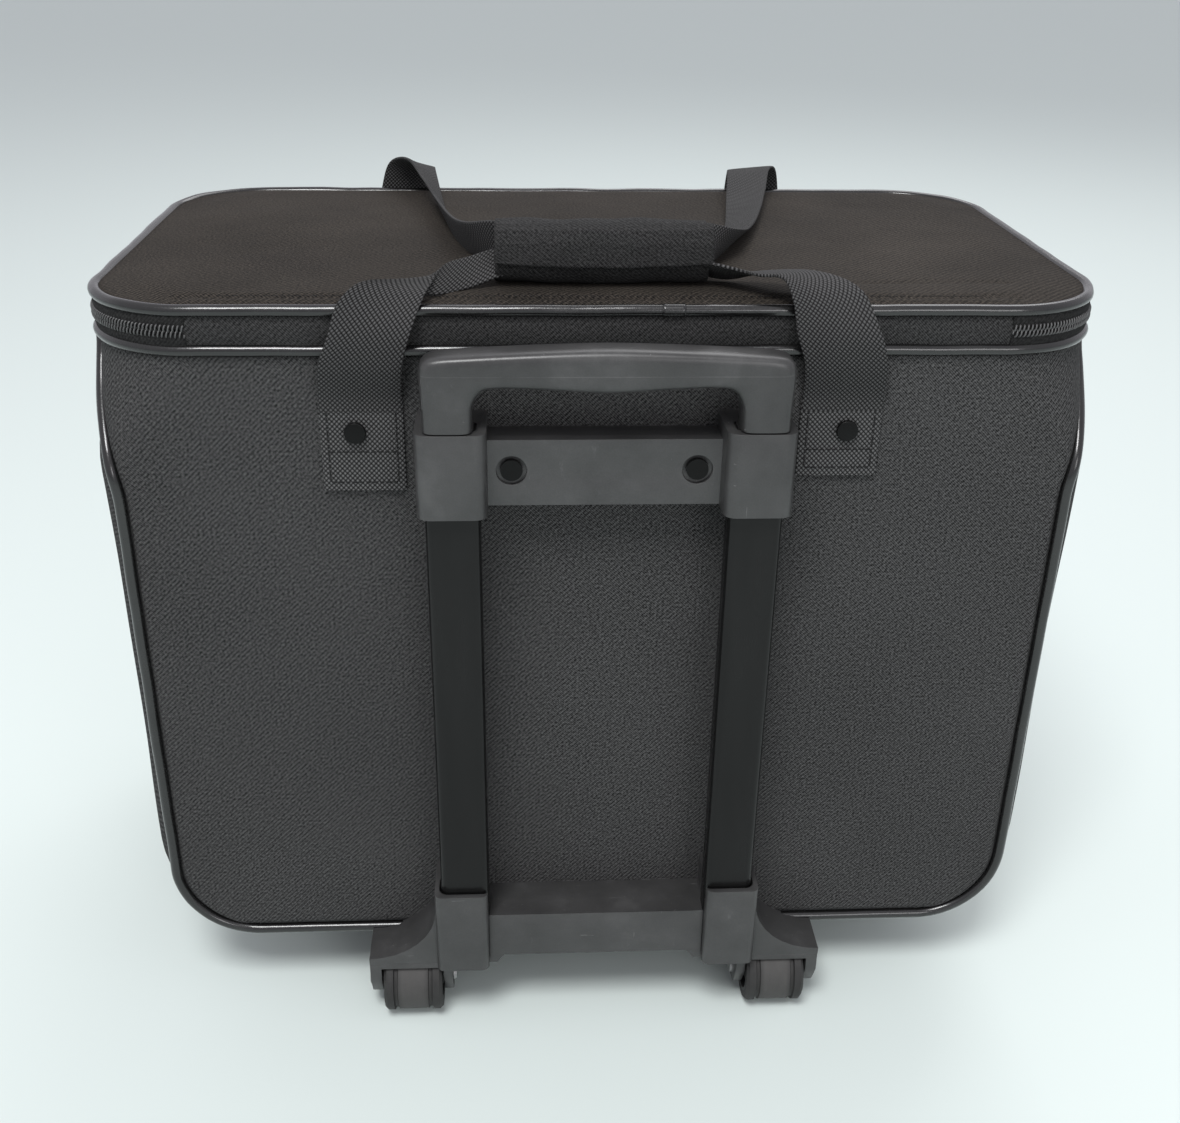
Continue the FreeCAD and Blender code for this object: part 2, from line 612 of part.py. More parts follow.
left_and_right("outer_tube", sleeve("outer_tube", 0, outer_bore, d.tube_foot, outer_top))
left_and_right("middle_tube", sleeve("middle_tube", middle_skin, middle_bore, middle_foot, middle_top))
pin_height = (grip_seat + d.grip_bottom) / 2
grip_pin = rod("grip_pin", "y", d.pin_radius, tube_y - d.leg_depth / 2, tube_y + d.leg_depth / 2,
               (d.tube_centre, pin_height))
left_and_right("inner_tube", cut("inner_tube", sleeve("inner_sleeve", inner_skin, inner_bore, inner_foot, d.grip_split),
                                 grip_pin))


def guides(node, outer, bore, skin_shrink, top):
    """A pair of bushes that line a tube's mouth, each with a flange on its rim."""
    liner = sleeve(node + "_liner", bore, skin_shrink - d.stage_gap, top - d.guide_length, top)
    flange_ring = sleeve(node + "_flange", outer, skin_shrink - d.stage_gap, top, top + d.guide_flange)
    return keep(node, both(node, fuse(node + "_bush", liner, flange_ring)))


guides("outer_guides", 0, outer_bore, middle_skin, outer_top)
guides("middle_guides", middle_skin, middle_bore, inner_skin, middle_top)


def plugs(node, tube_foot_height, tube_skin, bore):
    """End plugs: the head runs in the next tube out, the spigot sits in this tube's foot."""
    head = tube_solid(node + "_head", bore + d.stage_gap, tube_foot_height - 4, tube_foot_height)
    spigot = tube_solid(node + "_spigot", tube_skin, tube_foot_height, tube_foot_height + d.plug_length)
    return keep(node, both(node, fuse(node + "_plug", head, spigot)))


plugs("middle_plugs", middle_foot, middle_bore, outer_bore)
plugs("inner_plugs", inner_foot, inner_bore, middle_bore)

# ---- upper bracket ----
socket_x = (d.tube_centre - d.socket_width / 2, d.tube_centre + d.socket_width / 2)
socket = fillet("socket", box("socket_block", socket_x, (panel - d.trolley_reach, panel),
                              (d.socket_bottom, d.socket_top)), d.socket_corner, 2,
                lambda middle: middle.y < float(panel) - 10)
bridge = box("bridge", (-d.tube_centre, d.tube_centre), (panel - d.bridge_reach, panel),
             (d.bridge_bottom, d.bridge_top))
upper_tools = []
for side, name in ((-1, "left"), (1, "right")):
    upper_tools.append(rod("screw_recess_" + name, "y", d.recess / 2, panel - d.bridge_reach - 1,
                           panel - d.bridge_reach + d.recess_depth, (side * d.bracket_screw, d.bracket_screw_height)))
    upper_tools.append(rod("screw_way_" + name, "y", d.screw_shank, panel - d.bridge_reach, panel + 1,
                           (side * d.bracket_screw, d.bracket_screw_height)))
well = tube_solid("socket_well", 0, d.socket_bottom - 1, outer_top + d.guide_flange)
mouth = tube_solid("socket_mouth", outer_bore, outer_top, d.socket_top + 1)
upper_tools += [well, mirror("socket_well_left", well), mouth, mirror("socket_mouth_left", mouth)]
keep("upper_bracket", cut("upper_bracket", fuse("upper_moulding", bridge, socket, mirror("socket_left", socket)),
                          *upper_tools))


def screw(name, head_start, head_end, tip, place):
    """A pan-head screw along y."""
    head = (min(head_start, head_end, key=float), max(head_start, head_end, key=float))
    shank = (min(head_end, tip, key=float), max(head_end, tip, key=float))
    return fuse(name, rod(name + "_head", "y", d.screw_head, *head, place),
                rod(name + "_shank", "y", d.screw_shank, *shank, place))


recess_floor = panel - d.bridge_reach + d.recess_depth
upper_screw = screw("upper_screw", recess_floor - d.screw_cap, recess_floor, panel + wall + 2,
                    (d.bracket_screw, d.bracket_screw_height))
keep("upper_bracket_screws", both("upper_bracket_screws", upper_screw))

# ---- lower bracket ----
wheel_y = panel - d.wheel_stand
flare_low = d.housing_half
sweep = []
for step in range(9):
    angle = math.radians(90 * step / 8)
    sweep.append((flare_low - (flare_low - socket_x[1]) * math.cos(angle),
                  d.flare_top - (d.flare_top - d.housing_top) * math.sin(angle)))
profile = [(0, d.lower_bridge_bottom), (0, d.lower_bridge_top), (socket_x[0] + 4, d.lower_bridge_top),
           (socket_x[0] + 4, d.flare_top)] + sweep
profile += [(flare_low, d.seam_height), (socket_x[0], d.seam_height), (socket_x[0] - 4, d.lower_bridge_bottom)]
flare = padded("lower_flare", "XZ_Plane", profile, d.lower_reach, offset=-panel)
lower_socket = fillet("lower_socket", box(
    "lower_socket_block", (socket_x[0] + 4, socket_x[1]), (panel - d.lower_socket_reach, panel),
    (d.seam_height, d.lower_socket_top)), 4, 2, lambda middle: middle.y < float(panel) - 10)
half_bracket = fuse("half_bracket", flare, lower_socket)
tube_well = tube_solid("tube_well", 0, d.tube_foot, d.lower_socket_top + 1)
well_rim = tube_solid("well_rim", -1, d.lower_socket_top - 8, d.lower_socket_top + 1)
wheel_space = rod("wheel_space", "x", d.wheel_radius + 2, d.wheel_centre - d.wheel_width / 2 - d.wheel_gap,
                  d.wheel_centre + d.wheel_width / 2 + d.wheel_gap, (wheel_y, d.wheel_radius))
bead_channel = box("bead_channel", (-200, 200), (panel + d.piping_stand - bead - d.channel_gap, panel + 1), (d.seam_height - 1, d.bottom_height + 3.5))
screw_way = rod("lower_screw_way", "y", d.screw_shank, panel - d.screw_bite, panel + 1,
                (d.bracket_screw, lower_screw_height))
right_half = cut("right_half", half_bracket, tube_well, well_rim, wheel_space, bead_channel, screw_way)
keep("lower_bracket", fuse("lower_bracket", right_half, mirror("left_half", right_half)))
lower_screw = screw("lower_screw", panel + wall + d.screw_cap, panel + wall, panel - d.screw_bite,
                    (d.bracket_screw, lower_screw_height))
keep("lower_bracket_screws", both("lower_bracket_screws", lower_screw))

# ---- wheel housings, axles and wheels ----
cheek_side = [(panel - d.lower_reach, d.seam_height), (panel - d.lower_reach, d.wheel_radius + 8),
              (wheel_y - 8, d.wheel_radius - 4), (wheel_y - 4, d.wheel_radius - d.axle_boss),
              (wheel_y + 4, d.wheel_radius - d.axle_boss), (wheel_y + 8, d.wheel_radius - 4),
              (panel + d.housing_back, d.wheel_radius + 12), (panel + d.housing_back, d.seam_height)]
housing_in = socket_x[0] + 24
housing_block = padded("housing_block", "YZ_Plane", cheek_side, d.housing_half - housing_in, offset=housing_in)
hollow_x = (d.wheel_centre - d.wheel_width / 2 - d.wheel_gap, d.wheel_centre + d.wheel_width / 2 + d.wheel_gap)
wheel_hollow = box("wheel_hollow", hollow_x, (panel - 40, panel + 40), (-5, d.wheel_radius + 12))
wheel_round = rod("wheel_round", "x", d.wheel_radius + 2, *hollow_x, (wheel_y, d.wheel_radius))
axle_hole = rod("axle_hole", "x", d.axle_radius, housing_in - 5, d.housing_half + 5, (wheel_y, d.wheel_radius))
left_and_right("wheel_housing", cut("wheel_housing", housing_block, wheel_hollow, wheel_round, axle_hole))
axle = fuse("axle", rod("axle_pin", "x", d.axle_radius, housing_in - 1.5, d.housing_half, (wheel_y, d.wheel_radius)),
            rod("axle_cap", "x", d.axle_head, d.housing_half, d.housing_half + 1.5, (wheel_y, d.wheel_radius)),
            rod("axle_rivet", "x", d.axle_head - 1, housing_in - 1.5, housing_in, (wheel_y, d.wheel_radius)))
keep("axles", both("axles", axle))

half_tread = d.wheel_width / 2
hub_radius = d.wheel_radius - d.tyre_wall
groove = d.wheel_radius - d.groove_depth
bore = d.axle_radius + d.axle_play
for side, name in ((-1, "left"), (1, "right")):
    hub = [(-half_tread, bore), (-half_tread, bore + 3), (-half_tread + 2.5, bore + 3.5),
           (-half_tread + 2.5, hub_radius - 2), (-half_tread, hub_radius - 1.5), (-half_tread, hub_radius),
           (half_tread, hub_radius), (half_tread, hub_radius - 1.5), (half_tread - 2.5, hub_radius - 2),
           (half_tread - 2.5, bore + 3.5), (half_tread, bore + 3), (half_tread, bore)]
    tyre = [(-half_tread, hub_radius), (-half_tread, d.wheel_radius - 1.5), (-half_tread + 1.5, d.wheel_radius),
            (-half_tread + 5, d.wheel_radius), (-half_tread + 5.5, groove), (-half_tread + 7, groove),
            (-half_tread + 7.5, d.wheel_radius - 0.4), (half_tread - 7.5, d.wheel_radius - 0.4),
            (half_tread - 7, groove), (half_tread - 5.5, groove), (half_tread - 5, d.wheel_radius),
            (half_tread - 1.5, d.wheel_radius), (half_tread, d.wheel_radius - 1.5), (half_tread, hub_radius)]
    place = (side * d.wheel_centre, wheel_y, d.wheel_radius)
    keep("wheel_hub_" + name, turned("wheel_hub_" + name, hub, *place))
    keep("wheel_tyre_" + name, turned("wheel_tyre_" + name, tyre, *place))

# ---- rear feet ----
foot_y = (rear - d.foot_back - d.foot_depth, rear - d.foot_back)
foot = fillet("foot", box("foot_block", (d.foot_centre - d.foot_width / 2, d.foot_centre + d.foot_width / 2),
                          foot_y, (0, d.bottom_height)), 6, 2)
foot_middle = (foot_y[0] + foot_y[1]) / 2
foot_screw_shapes = []


def floor_screw(name, head_low, tip, x, y):
    """A pan-head screw that stands upright, its head at the bottom."""
    return fuse(name, rod(name + "_head", "z", d.screw_head, head_low, head_low + d.screw_cap, (x, y)),
                rod(name + "_shank", "z", d.screw_shank, head_low + d.screw_cap, tip, (x, y)))


for number, offset in enumerate((-d.foot_width / 4, d.foot_width / 4)):
    tip = d.bottom_height - 1
    foot_screw_shapes.append(floor_screw("foot_screw_%d" % number, d.screw_well, tip, d.foot_centre + offset,
                                         foot_middle))
wells = []
for number, offset in enumerate((-d.foot_width / 4, d.foot_width / 4)):
    wells.append(rod("foot_well_%d" % number, "z", d.screw_head + 0.5, -1, d.screw_well + d.screw_cap,
                     (d.foot_centre + offset, foot_middle)))
left_and_right("rear_foot", cut("rear_foot", foot, *wells, *foot_screw_shapes))
keep("foot_screws", both("foot_screws", group("foot_screw_pair", *foot_screw_shapes)))

# ---- grip ----
bar_low = d.grip_bottom
crown = d.grip_crown
half = d.grip_half
bar_outline = [(-half, d.grip_top - crown), (-half * 0.75, d.grip_top - crown * 0.55), (-half * 0.4, d.grip_top - 0.8),
               (0, d.grip_top), (half * 0.4, d.grip_top - 0.8), (half * 0.75, d.grip_top - crown * 0.55),
               (half, d.grip_top - crown), (half, bar_low + 4), (d.leg_outer, bar_low), (d.leg_outer, grip_seat),
               (d.leg_inner, grip_seat), (d.leg_inner, bar_low - 5), (d.leg_inner - 4, bar_low - 0.5),
               (d.leg_inner - d.grip_corner, bar_low + 0.6), (0, bar_low - d.grip_droop),
               (d.grip_corner - d.leg_inner, bar_low + 0.6), (4 - d.leg_inner, bar_low - 0.5),
               (-d.leg_inner, bar_low - 5), (-d.leg_inner, grip_seat), (-d.leg_outer, grip_seat),
               (-d.leg_outer, bar_low), (-half, bar_low + 4)]
grip_front = panel - d.trolley_reach
grip_block = padded("grip_block", "XZ_Plane", bar_outline, d.grip_depth, offset=-(grip_front + d.grip_depth))
leg_back = tube_y + d.leg_depth / 2
leg_trims = [box("leg_front_trim", (-100, 100), (grip_front - 5, tube_y - d.leg_depth / 2), (300, bar_low - 3)),
             box("leg_back_trim", (-100, 100), (leg_back, panel), (300, bar_low - 3))]
tube_seat = tube_solid("tube_seat", inner_skin, 300, d.grip_split)
pin_left = mirror("grip_pin_left", grip_pin)
grip_body = cut("grip_body", grip_block, *leg_trims, tube_seat, mirror("tube_seat_left", tube_seat), grip_pin, pin_left)
upper_half = box("upper_half", (-100, 100), (grip_front - 5, panel), (d.grip_split, d.grip_top + 5))
keep("grip_upper_shell", common("grip_upper_shell", grip_body, upper_half))
keep("grip_lower_shell", cut("grip_lower_shell", grip_body, upper_half))
keep("grip_pins", group("grip_pins", grip_pin, pin_left))

# ---- check and write ----
doc.recompute()
failed = [item.Label for item in doc.Objects if {"Invalid", "Error"} & set(item.State)]
for item in subparts:
    if item.Shape.isNull() or not item.Shape.isValid() or not item.Shape.Solids:
        failed.append(item.Label)
if failed:
    raise RuntimeError("failed sub-parts: " + ", ".join(failed))

os.makedirs("parts", exist_ok=True)
for item in subparts:
    item.Shape.exportStep("parts/%s.step" % item.Label)
print(len(subparts), "sub-parts written")
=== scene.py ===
import math

import bmesh
import bpy
from mathutils import Matrix, Vector, noise


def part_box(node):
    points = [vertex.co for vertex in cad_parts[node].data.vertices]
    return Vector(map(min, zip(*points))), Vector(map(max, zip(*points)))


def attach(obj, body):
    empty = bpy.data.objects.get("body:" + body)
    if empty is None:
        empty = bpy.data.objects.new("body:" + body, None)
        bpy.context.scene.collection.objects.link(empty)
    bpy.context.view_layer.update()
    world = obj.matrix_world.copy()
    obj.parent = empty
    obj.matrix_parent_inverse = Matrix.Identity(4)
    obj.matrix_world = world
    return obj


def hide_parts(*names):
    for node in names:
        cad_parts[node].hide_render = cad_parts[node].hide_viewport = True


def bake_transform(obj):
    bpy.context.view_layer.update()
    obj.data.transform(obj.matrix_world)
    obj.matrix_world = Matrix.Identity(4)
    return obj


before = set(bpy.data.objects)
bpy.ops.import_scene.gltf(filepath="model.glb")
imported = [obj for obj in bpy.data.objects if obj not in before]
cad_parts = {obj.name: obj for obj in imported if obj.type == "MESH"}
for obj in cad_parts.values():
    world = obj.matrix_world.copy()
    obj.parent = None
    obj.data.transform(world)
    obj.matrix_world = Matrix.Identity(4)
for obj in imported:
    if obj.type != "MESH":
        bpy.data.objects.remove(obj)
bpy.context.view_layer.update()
mm = 0.001

# Places read from the frame: the trolley side's panel face, the back panel's face and the two piping heights.
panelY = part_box("front_patches")[1].y
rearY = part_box("back_patches")[0].y
lidLow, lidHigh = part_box("lid_piping")
rimLow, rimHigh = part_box("rim_piping")
lidZ = (lidLow.z + lidHigh.z) / 2
rimZ = (rimLow.z + rimHigh.z) / 2
bead = (lidHigh.z - lidLow.z) / 2
halfWidth = lidHigh.x - bead
zipZ = (lidZ + rimZ) / 2
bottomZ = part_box("gusset_board")[0].z - 2 * mm
depth = rearY - panelY
planCorner = 50 * mm


def spot(x, y, z):
    # a point in millimetres: y from the panel's face, z from the lid piping
    return Vector((x * mm, panelY + y * mm, lidZ + z * mm))


def smoothStep(value):
    value = min(max(value, 0), 1)
    return value * value * (3 - 2 * value)


class Wire:
    # one node output that takes part in plain arithmetic
    def __init__(self, paint, socket):
        self.paint = paint
        self.socket = socket

    def calc(self, operation, first, second=0.0):
        return self.paint.node("ShaderNodeMath", {"operation": operation}, {0: first, 1: second})

    def __add__(self, other):
        return self.calc("ADD", self, other)

    def __sub__(self, other):
        return self.calc("SUBTRACT", self, other)

    def __rsub__(self, other):
        return self.calc("SUBTRACT", other, self)

    def __mul__(self, other):
        return self.calc("MULTIPLY", self, other)

    def __truediv__(self, other):
        return self.calc("DIVIDE", self, other)

    def __gt__(self, other):
        return self.calc("GREATER_THAN", self, other)

    def __pow__(self, other):
        return self.calc("POWER", self, other)

    __radd__ = __add__
    __rmul__ = __mul__

    def wave(self):
        return self.calc("SINE", self * (2 * math.pi))

    def size(self):
        return self.calc("ABSOLUTE", self)

    def clamped(self):
        self.socket.node.use_clamp = True  # held between 0 and 1
        return self


class Paint:
    def __init__(self, name, **constants):
        self.material = bpy.data.materials.new(name)
        self.material.use_nodes = True
        self.tree = self.material.node_tree
        self.tree.nodes.clear()
        self.out = self.tree.nodes.new("ShaderNodeOutputMaterial")
        self.shader = self.tree.nodes.new("ShaderNodeBsdfPrincipled")
        self.tree.links.new(self.shader.outputs[0], self.out.inputs[0])
        for socketName, value in constants.items():
            self.shader.inputs[socketName.replace("_", " ")].default_value = value

    def node(self, kind, settings=None, sockets=None, out=0):
        made = self.tree.nodes.new(kind)
        for key, value in (settings or {}).items():
            setattr(made, key, value)
        for key, value in (sockets or {}).items():
            if isinstance(value, Wire):
                self.tree.links.new(value.socket, made.inputs[key])
            else:
                made.inputs[key].default_value = value
        return Wire(self, made.outputs[out])

    def place(self, kind="Object"):
        return self.node("ShaderNodeTexCoord", out=3 if kind == "Object" else 2)

    def axes(self, place):
        split = self.tree.nodes.new("ShaderNodeSeparateXYZ")
        self.tree.links.new(place.socket, split.inputs[0])
        return [Wire(self, output) for output in split.outputs]

    def stretched(self, place, scale):
        return self.node("ShaderNodeMapping", {}, {"Vector": place, "Scale": scale})

    def cloud(self, place, scale, detail=3.0, rough=0.5):
        return self.node("ShaderNodeTexNoise", {}, {"Vector": place, "Scale": scale, "Detail": detail,
                                                    "Roughness": rough})

    def blend(self, factor, dark, light):
        made = self.tree.nodes.new("ShaderNodeMix")
        made.data_type = "RGBA"
        for key, value in ((0, factor), (6, dark), (7, light)):
            if isinstance(value, Wire):
                self.tree.links.new(value.socket, made.inputs[key])
            else:
                made.inputs[key].default_value = value
        return Wire(self, made.outputs[2])

    def use(self, **links):
        for socketName, value in links.items():
            self.tree.links.new(value.socket, self.shader.inputs[socketName.replace("_", " ")])
        return self

    def bump(self, height, strength, distance):
        self.use(Normal=self.node("ShaderNodeBump", {}, {"Height": height, "Strength": strength,
                                                         "Distance": distance}))
        return self


def grey(value, warmth=0.0):
    return (value * (1 + warmth), value, value * (1 - warmth), 1)


clothLook = {"rough": 0.88, "gloss": 0.16, "diagonal": 0.32, "counter": 0.22, "fuzzScale": 820.0, "fuzz": 2.0,
             "lintScale": 430.0, "lintFrom": 0.74, "lint": 0.3, "broadScale": 9.0, "contrast": 0.7,
             "bump": 0.55, "bumpDepth": 0.25}


def twill(name, dark, light, pitch=1.25, warmth=0.0, patch=0.35):
    # diagonal cloth on the piece's own map, whose unit is a metre
    paint = Paint(name, Roughness=clothLook["rough"], Specular_IOR_Level=clothLook["gloss"])
    place = paint.place("UV")
    across, along, _ = paint.axes(place)
    across = across / (pitch * mm)
    along = along / (pitch * mm)
    diagonal = (across + along).wave()
    counter = ((across - along) * 0.5).wave()
    weave = diagonal * clothLook["diagonal"] + counter * clothLook["counter"] + 0.5
    fuzz = paint.cloud(place, clothLook["fuzzScale"], 3.0, 0.6)
    lint = paint.cloud(place, clothLook["lintScale"], 2.0) > clothLook["lintFrom"]
    broad = paint.cloud(place, clothLook["broadScale"], 4.0, 0.6)
    tone = weave * clothLook["contrast"] + (fuzz - 0.5) * clothLook["fuzz"] + (broad - 0.5) * patch
    tone = (tone + lint * clothLook["lint"] + 0.05).clamped()
    paint.use(Base_Color=paint.blend(tone, grey(dark, warmth), grey(light, warmth)))
    return paint.bump(weave + fuzz * 0.6, clothLook["bump"], clothLook["bumpDepth"] * mm)


webLook = {"rough": 0.8, "gloss": 0.2, "pickWide": 4.4, "pickLong": 4.8, "pickCurve": 0.7,
           "fuzzScale": 1500.0, "fuzz": 0.5, "broadScale": 14.0, "broad": 0.3, "contrast": 1.15, "bump": 0.9,
           "bumpDepth": 0.5}


def belt(name, dark, light):
    # basket weave of the carrying straps: raised picks in staggered rows
    paint = Paint(name, Roughness=webLook["rough"], Specular_IOR_Level=webLook["gloss"])
    place = paint.place("UV")
    across, along, _ = paint.axes(place)
    across = across / (webLook["pickWide"] * mm)
    along = along / (webLook["pickLong"] * mm)
    picks = (across + along).wave() * (across - along).wave()
    picks = picks.size() ** webLook["pickCurve"]
    fuzz = paint.cloud(place, webLook["fuzzScale"], 2.0)
    broad = paint.cloud(place, webLook["broadScale"], 3.0)
    tone = picks * webLook["contrast"] + (fuzz - 0.5) * webLook["fuzz"] + (broad - 0.5) * webLook["broad"]
    tone = (tone - 0.15).clamped()
    paint.use(Base_Color=paint.blend(tone, grey(dark), grey(light)))
    return paint.bump(picks + fuzz * 0.25, webLook["bump"], webLook["bumpDepth"] * mm)


vinylLook = {"rough": 0.2, "coat": 0.3, "creaseScale": 60.0, "grainScale": 900.0, "dark": 0.003,
             "light": 0.012, "bump": 0.35, "bumpDepth": 0.4}


def vinyl(name):
    paint = Paint(name, Roughness=vinylLook["rough"], Coat_Weight=vinylLook["coat"])
    place = paint.place()
    creases = paint.cloud(place, vinylLook["creaseScale"], 3.0)
    grain = paint.cloud(place, vinylLook["grainScale"], 2.0)
    paint.use(Base_Color=paint.blend(creases, grey(vinylLook["dark"]), grey(vinylLook["light"])))
    paint.use(Roughness=grain * 0.14 + creases * 0.12 + 0.12)
    return paint.bump(creases * 2 + grain * 0.2, vinylLook["bump"], vinylLook["bumpDepth"] * mm)


plasticLook = {"filmScale": 24.0, "markScale": 420.0, "markStretch": 0.06, "markFrom": 0.71,
               "crossScale": 520.0, "crossStretch": 0.05, "crossFrom": 0.72, "dustFrom": 0.56,
               "dustGain": 6, "scuffScale": 140.0, "scuffStretch": 0.35, "scuffFrom": 0.62, "scuffGain": 5,
               "partingHalf": 0.35, "bump": 0.22, "bumpDepth": 0.12}


def moulded(name, dark, light, rough, scratch=0.5, dust=0.2, grainScale=1400.0, parting=None, gloss=0.5):
    # moulded plastic: fine grain, long thin scratches and a dusty film in patches
    look = plasticLook
    paint = Paint(name, Specular_IOR_Level=gloss)
    place = paint.place()
    grain = paint.cloud(place, grainScale, 2.0)
    film = paint.cloud(place, look["filmScale"], 5.0, 0.65)
    marks = paint.cloud(paint.stretched(place, (1.0, 1.0, look["markStretch"])), look["markScale"], 3.0, 0.7)
    marks = (marks > look["markFrom"]) * scratch
    across = paint.stretched(place, (look["crossStretch"], 1.0, 1.0))
    cross = paint.cloud(across, look["crossScale"], 3.0, 0.7)
    marks = marks + (cross > look["crossFrom"]) * scratch
    dusty = (film > look["dustFrom"]) * (film - look["dustFrom"]) * look["dustGain"] * dust
    rubbed = paint.stretched(place, (1.0, 1.0, look["scuffStretch"]))
    scuff = paint.cloud(rubbed, look["scuffScale"], 7.0, 0.8)
    scuff = (scuff > look["scuffFrom"]) * (scuff - look["scuffFrom"]) * look["scuffGain"]
    tone = film * 0.5 + grain * 0.15 + marks * 0.7 + dusty + scuff * 0.5 - 0.1
    relief = grain + marks * 0.4
    if parting:
        line = 1 - (paint.axes(place)[2] - parting).size() / (look["partingHalf"] * mm)
        tone = tone + line.clamped() * (film - 0.35)
        relief = relief - line * 2
    paint.use(Base_Color=paint.blend(tone.clamped(), grey(dark), grey(light)))
    paint.use(Roughness=film * 0.16 + grain * 0.1 + dusty * 0.4 + (rough - 0.1))
    return paint.bump(relief, look["bump"], look["bumpDepth"] * mm)


enamelLook = {"gloss": 0.22, "chipScale": 190.0, "chipFrom": 0.755, "smearScale": 90.0, "smearStretch": 0.12,
              "dark": 0.002, "light": 0.009, "chip": 0.32, "bump": 0.1, "bumpDepth": 0.2}


def enamel(name):
    # black paint on steel tube, with small chips
    paint = Paint(name, Specular_IOR_Level=enamelLook["gloss"])
    place = paint.place()
    chips = paint.cloud(place, enamelLook["chipScale"], 6.0, 0.75) > enamelLook["chipFrom"]
    drawn = paint.stretched(place, (1.0, 1.0, enamelLook["smearStretch"]))
    smear = paint.cloud(drawn, enamelLook["smearScale"], 4.0)
    coat = paint.blend(smear, grey(enamelLook["dark"]), grey(enamelLook["light"]))
    paint.use(Base_Color=paint.blend(chips, coat, grey(enamelLook["chip"], 0.05)))
    paint.use(Roughness=smear * 0.22 + chips * 0.3 + 0.14)
    return paint.bump(smear, enamelLook["bump"], enamelLook["bumpDepth"] * mm)


def bright(name, shade, rough):
    paint = Paint(name, Metallic=1.0)
    place = paint.place()
    brushed = paint.cloud(paint.stretched(place, (1.0, 0.1, 1.0)), 900.0, 2.0)
    paint.use(Base_Color=paint.blend(brushed, grey(shade * 0.7), grey(shade)))
    paint.use(Roughness=brushed * 0.2 + rough)
    return paint.bump(brushed, 0.1, 0.05 * mm)


treadLook = {"bandHalf": 9.5, "bandGain": 2.4, "band": 0.55, "gritScale": 700.0, "grit": 0.3,
             "smearScale": 110.0, "smear": 0.35, "dark": 0.004, "light": 0.06, "bump": 0.5, "bumpDepth": 0.3}


def rubber(name, centreX):
    # roller tread: scuffed, with a paler band round its middle: a painted highlight along the tread's crown
    # mixed with road dust
    paint = Paint(name)
    place = paint.place()
    across = (paint.axes(place)[0] - centreX).size()
    grit = paint.cloud(place, treadLook["gritScale"], 5.0, 0.7)
    smear = paint.cloud(paint.stretched(place, (3.0, 1.0, 1.0)), treadLook["smearScale"], 4.0, 0.6)
    # painted highlight mixed with road dust: the tread is paler in a band round its middle
    band = ((1 - across / (treadLook["bandHalf"] * mm)) * treadLook["bandGain"]).clamped()
    tone = band * treadLook["band"] + grit * treadLook["grit"] + smear * treadLook["smear"] - 0.12
    paint.use(Base_Color=paint.blend(tone.clamped(), grey(treadLook["dark"]), grey(treadLook["light"], 0.04)))
    paint.use(Roughness=grit * 0.25 + 0.55)
    return paint.bump(grit + smear, treadLook["bump"], treadLook["bumpDepth"] * mm)


def smoothCloth(name, dark, light, thread=0.5):
    paint = Paint(name, Roughness=0.8, Specular_IOR_Level=0.2)
    place = paint.place()
    x, y, z = paint.axes(place)
    threads = ((x + z) / (thread * mm)).wave() * ((y + z) / (thread * mm)).wave() * 0.3 + 0.5
    broad = paint.cloud(place, 12.0, 3.0)
    paint.use(Base_Color=paint.blend(threads * 0.6 + broad * 0.4, grey(dark), grey(light)))
    return paint.bump(threads, 0.3, 0.1 * mm)


print("stage: materials")
panelCloth = twill("panel_fabric", 0.003, 0.096, patch=0.22)
# the lid cloth's warm brownish tint (warmth) is painted warm reflected light on the black twill
lidClothWarmLit = twill("lid_fabric", 0.002, 0.048, pitch=1.7, warmth=0.18, patch=0.7)
wrapCloth = twill("wrap_fabric", 0.004, 0.045, pitch=1.1)
hingeCloth = twill("hinge_fabric", 0.005, 0.055)
# strap and patch are one webbing in two tones: the strap copy is painted darker as shade where it bows out,
# and the patch copy is painted paler as light on its flat face
strapWebShaded = belt("strap_webbing_shaded", 0.002, 0.085)
patchWebLit = belt("patch_webbing_lit", 0.003, 0.12)
pipingVinyl = vinyl("piping_vinyl")
bracketPlastic = moulded("bracket_plastic", 0.012, 0.13, 0.36, scratch=0.9, dust=0.1)
gripPlastic = moulded("grip_plastic", 0.008, 0.11, 0.32, scratch=0.9, dust=0.1, parting=0.3675)
footPlastic = moulded("foot_plastic", 0.018, 0.05, 0.5)
guidePlastic = moulded("guide_plastic", 0.015, 0.04, 0.45, scratch=0.2)
hubPlastic = moulded("hub_plastic", 0.008, 0.03, 0.45, dust=0.3)
fastenerBlack = moulded("fastener_black", 0.001, 0.006, 0.3, scratch=0.1, dust=0.05, gloss=0.15)
sliderMetal = moulded("slider_metal", 0.012, 0.05, 0.3, scratch=0.3)
tubeEnamel = enamel("tube_enamel")
screwSteel = bright("screw_steel", 0.45, 0.3)
pinBlack = moulded("pin_black", 0.008, 0.02, 0.4, scratch=0.1)
liningCloth = smoothCloth("lining_cloth", 0.03, 0.07)
boardPlastic = moulded("board_plastic", 0.02, 0.05, 0.6, scratch=0.1)
tapeCloth = twill("zip_tape_cloth", 0.003, 0.03, pitch=0.9)
coilPlastic = moulded("coil_plastic", 0.05, 0.14, 0.32, scratch=0.0, dust=0.1)
threadBlack = smoothCloth("thread_black", 0.004, 0.02)


def addPiece(name, bm, paint, body, nodes=(), sharp=None):
    mesh = bpy.data.meshes.new(name)
    bm.to_mesh(mesh)
    bm.free()
    mesh.polygons.foreach_set("use_smooth", [True] * len(mesh.polygons))
    if sharp:
        mesh.set_sharp_from_angle(angle=math.radians(sharp))
    piece = bpy.data.objects.new(name, mesh)
    bpy.context.scene.collection.objects.link(piece)
    mesh.materials.append(paint.material)
    if body:
        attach(piece, body)
    if nodes:
        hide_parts(*nodes)
    return piece


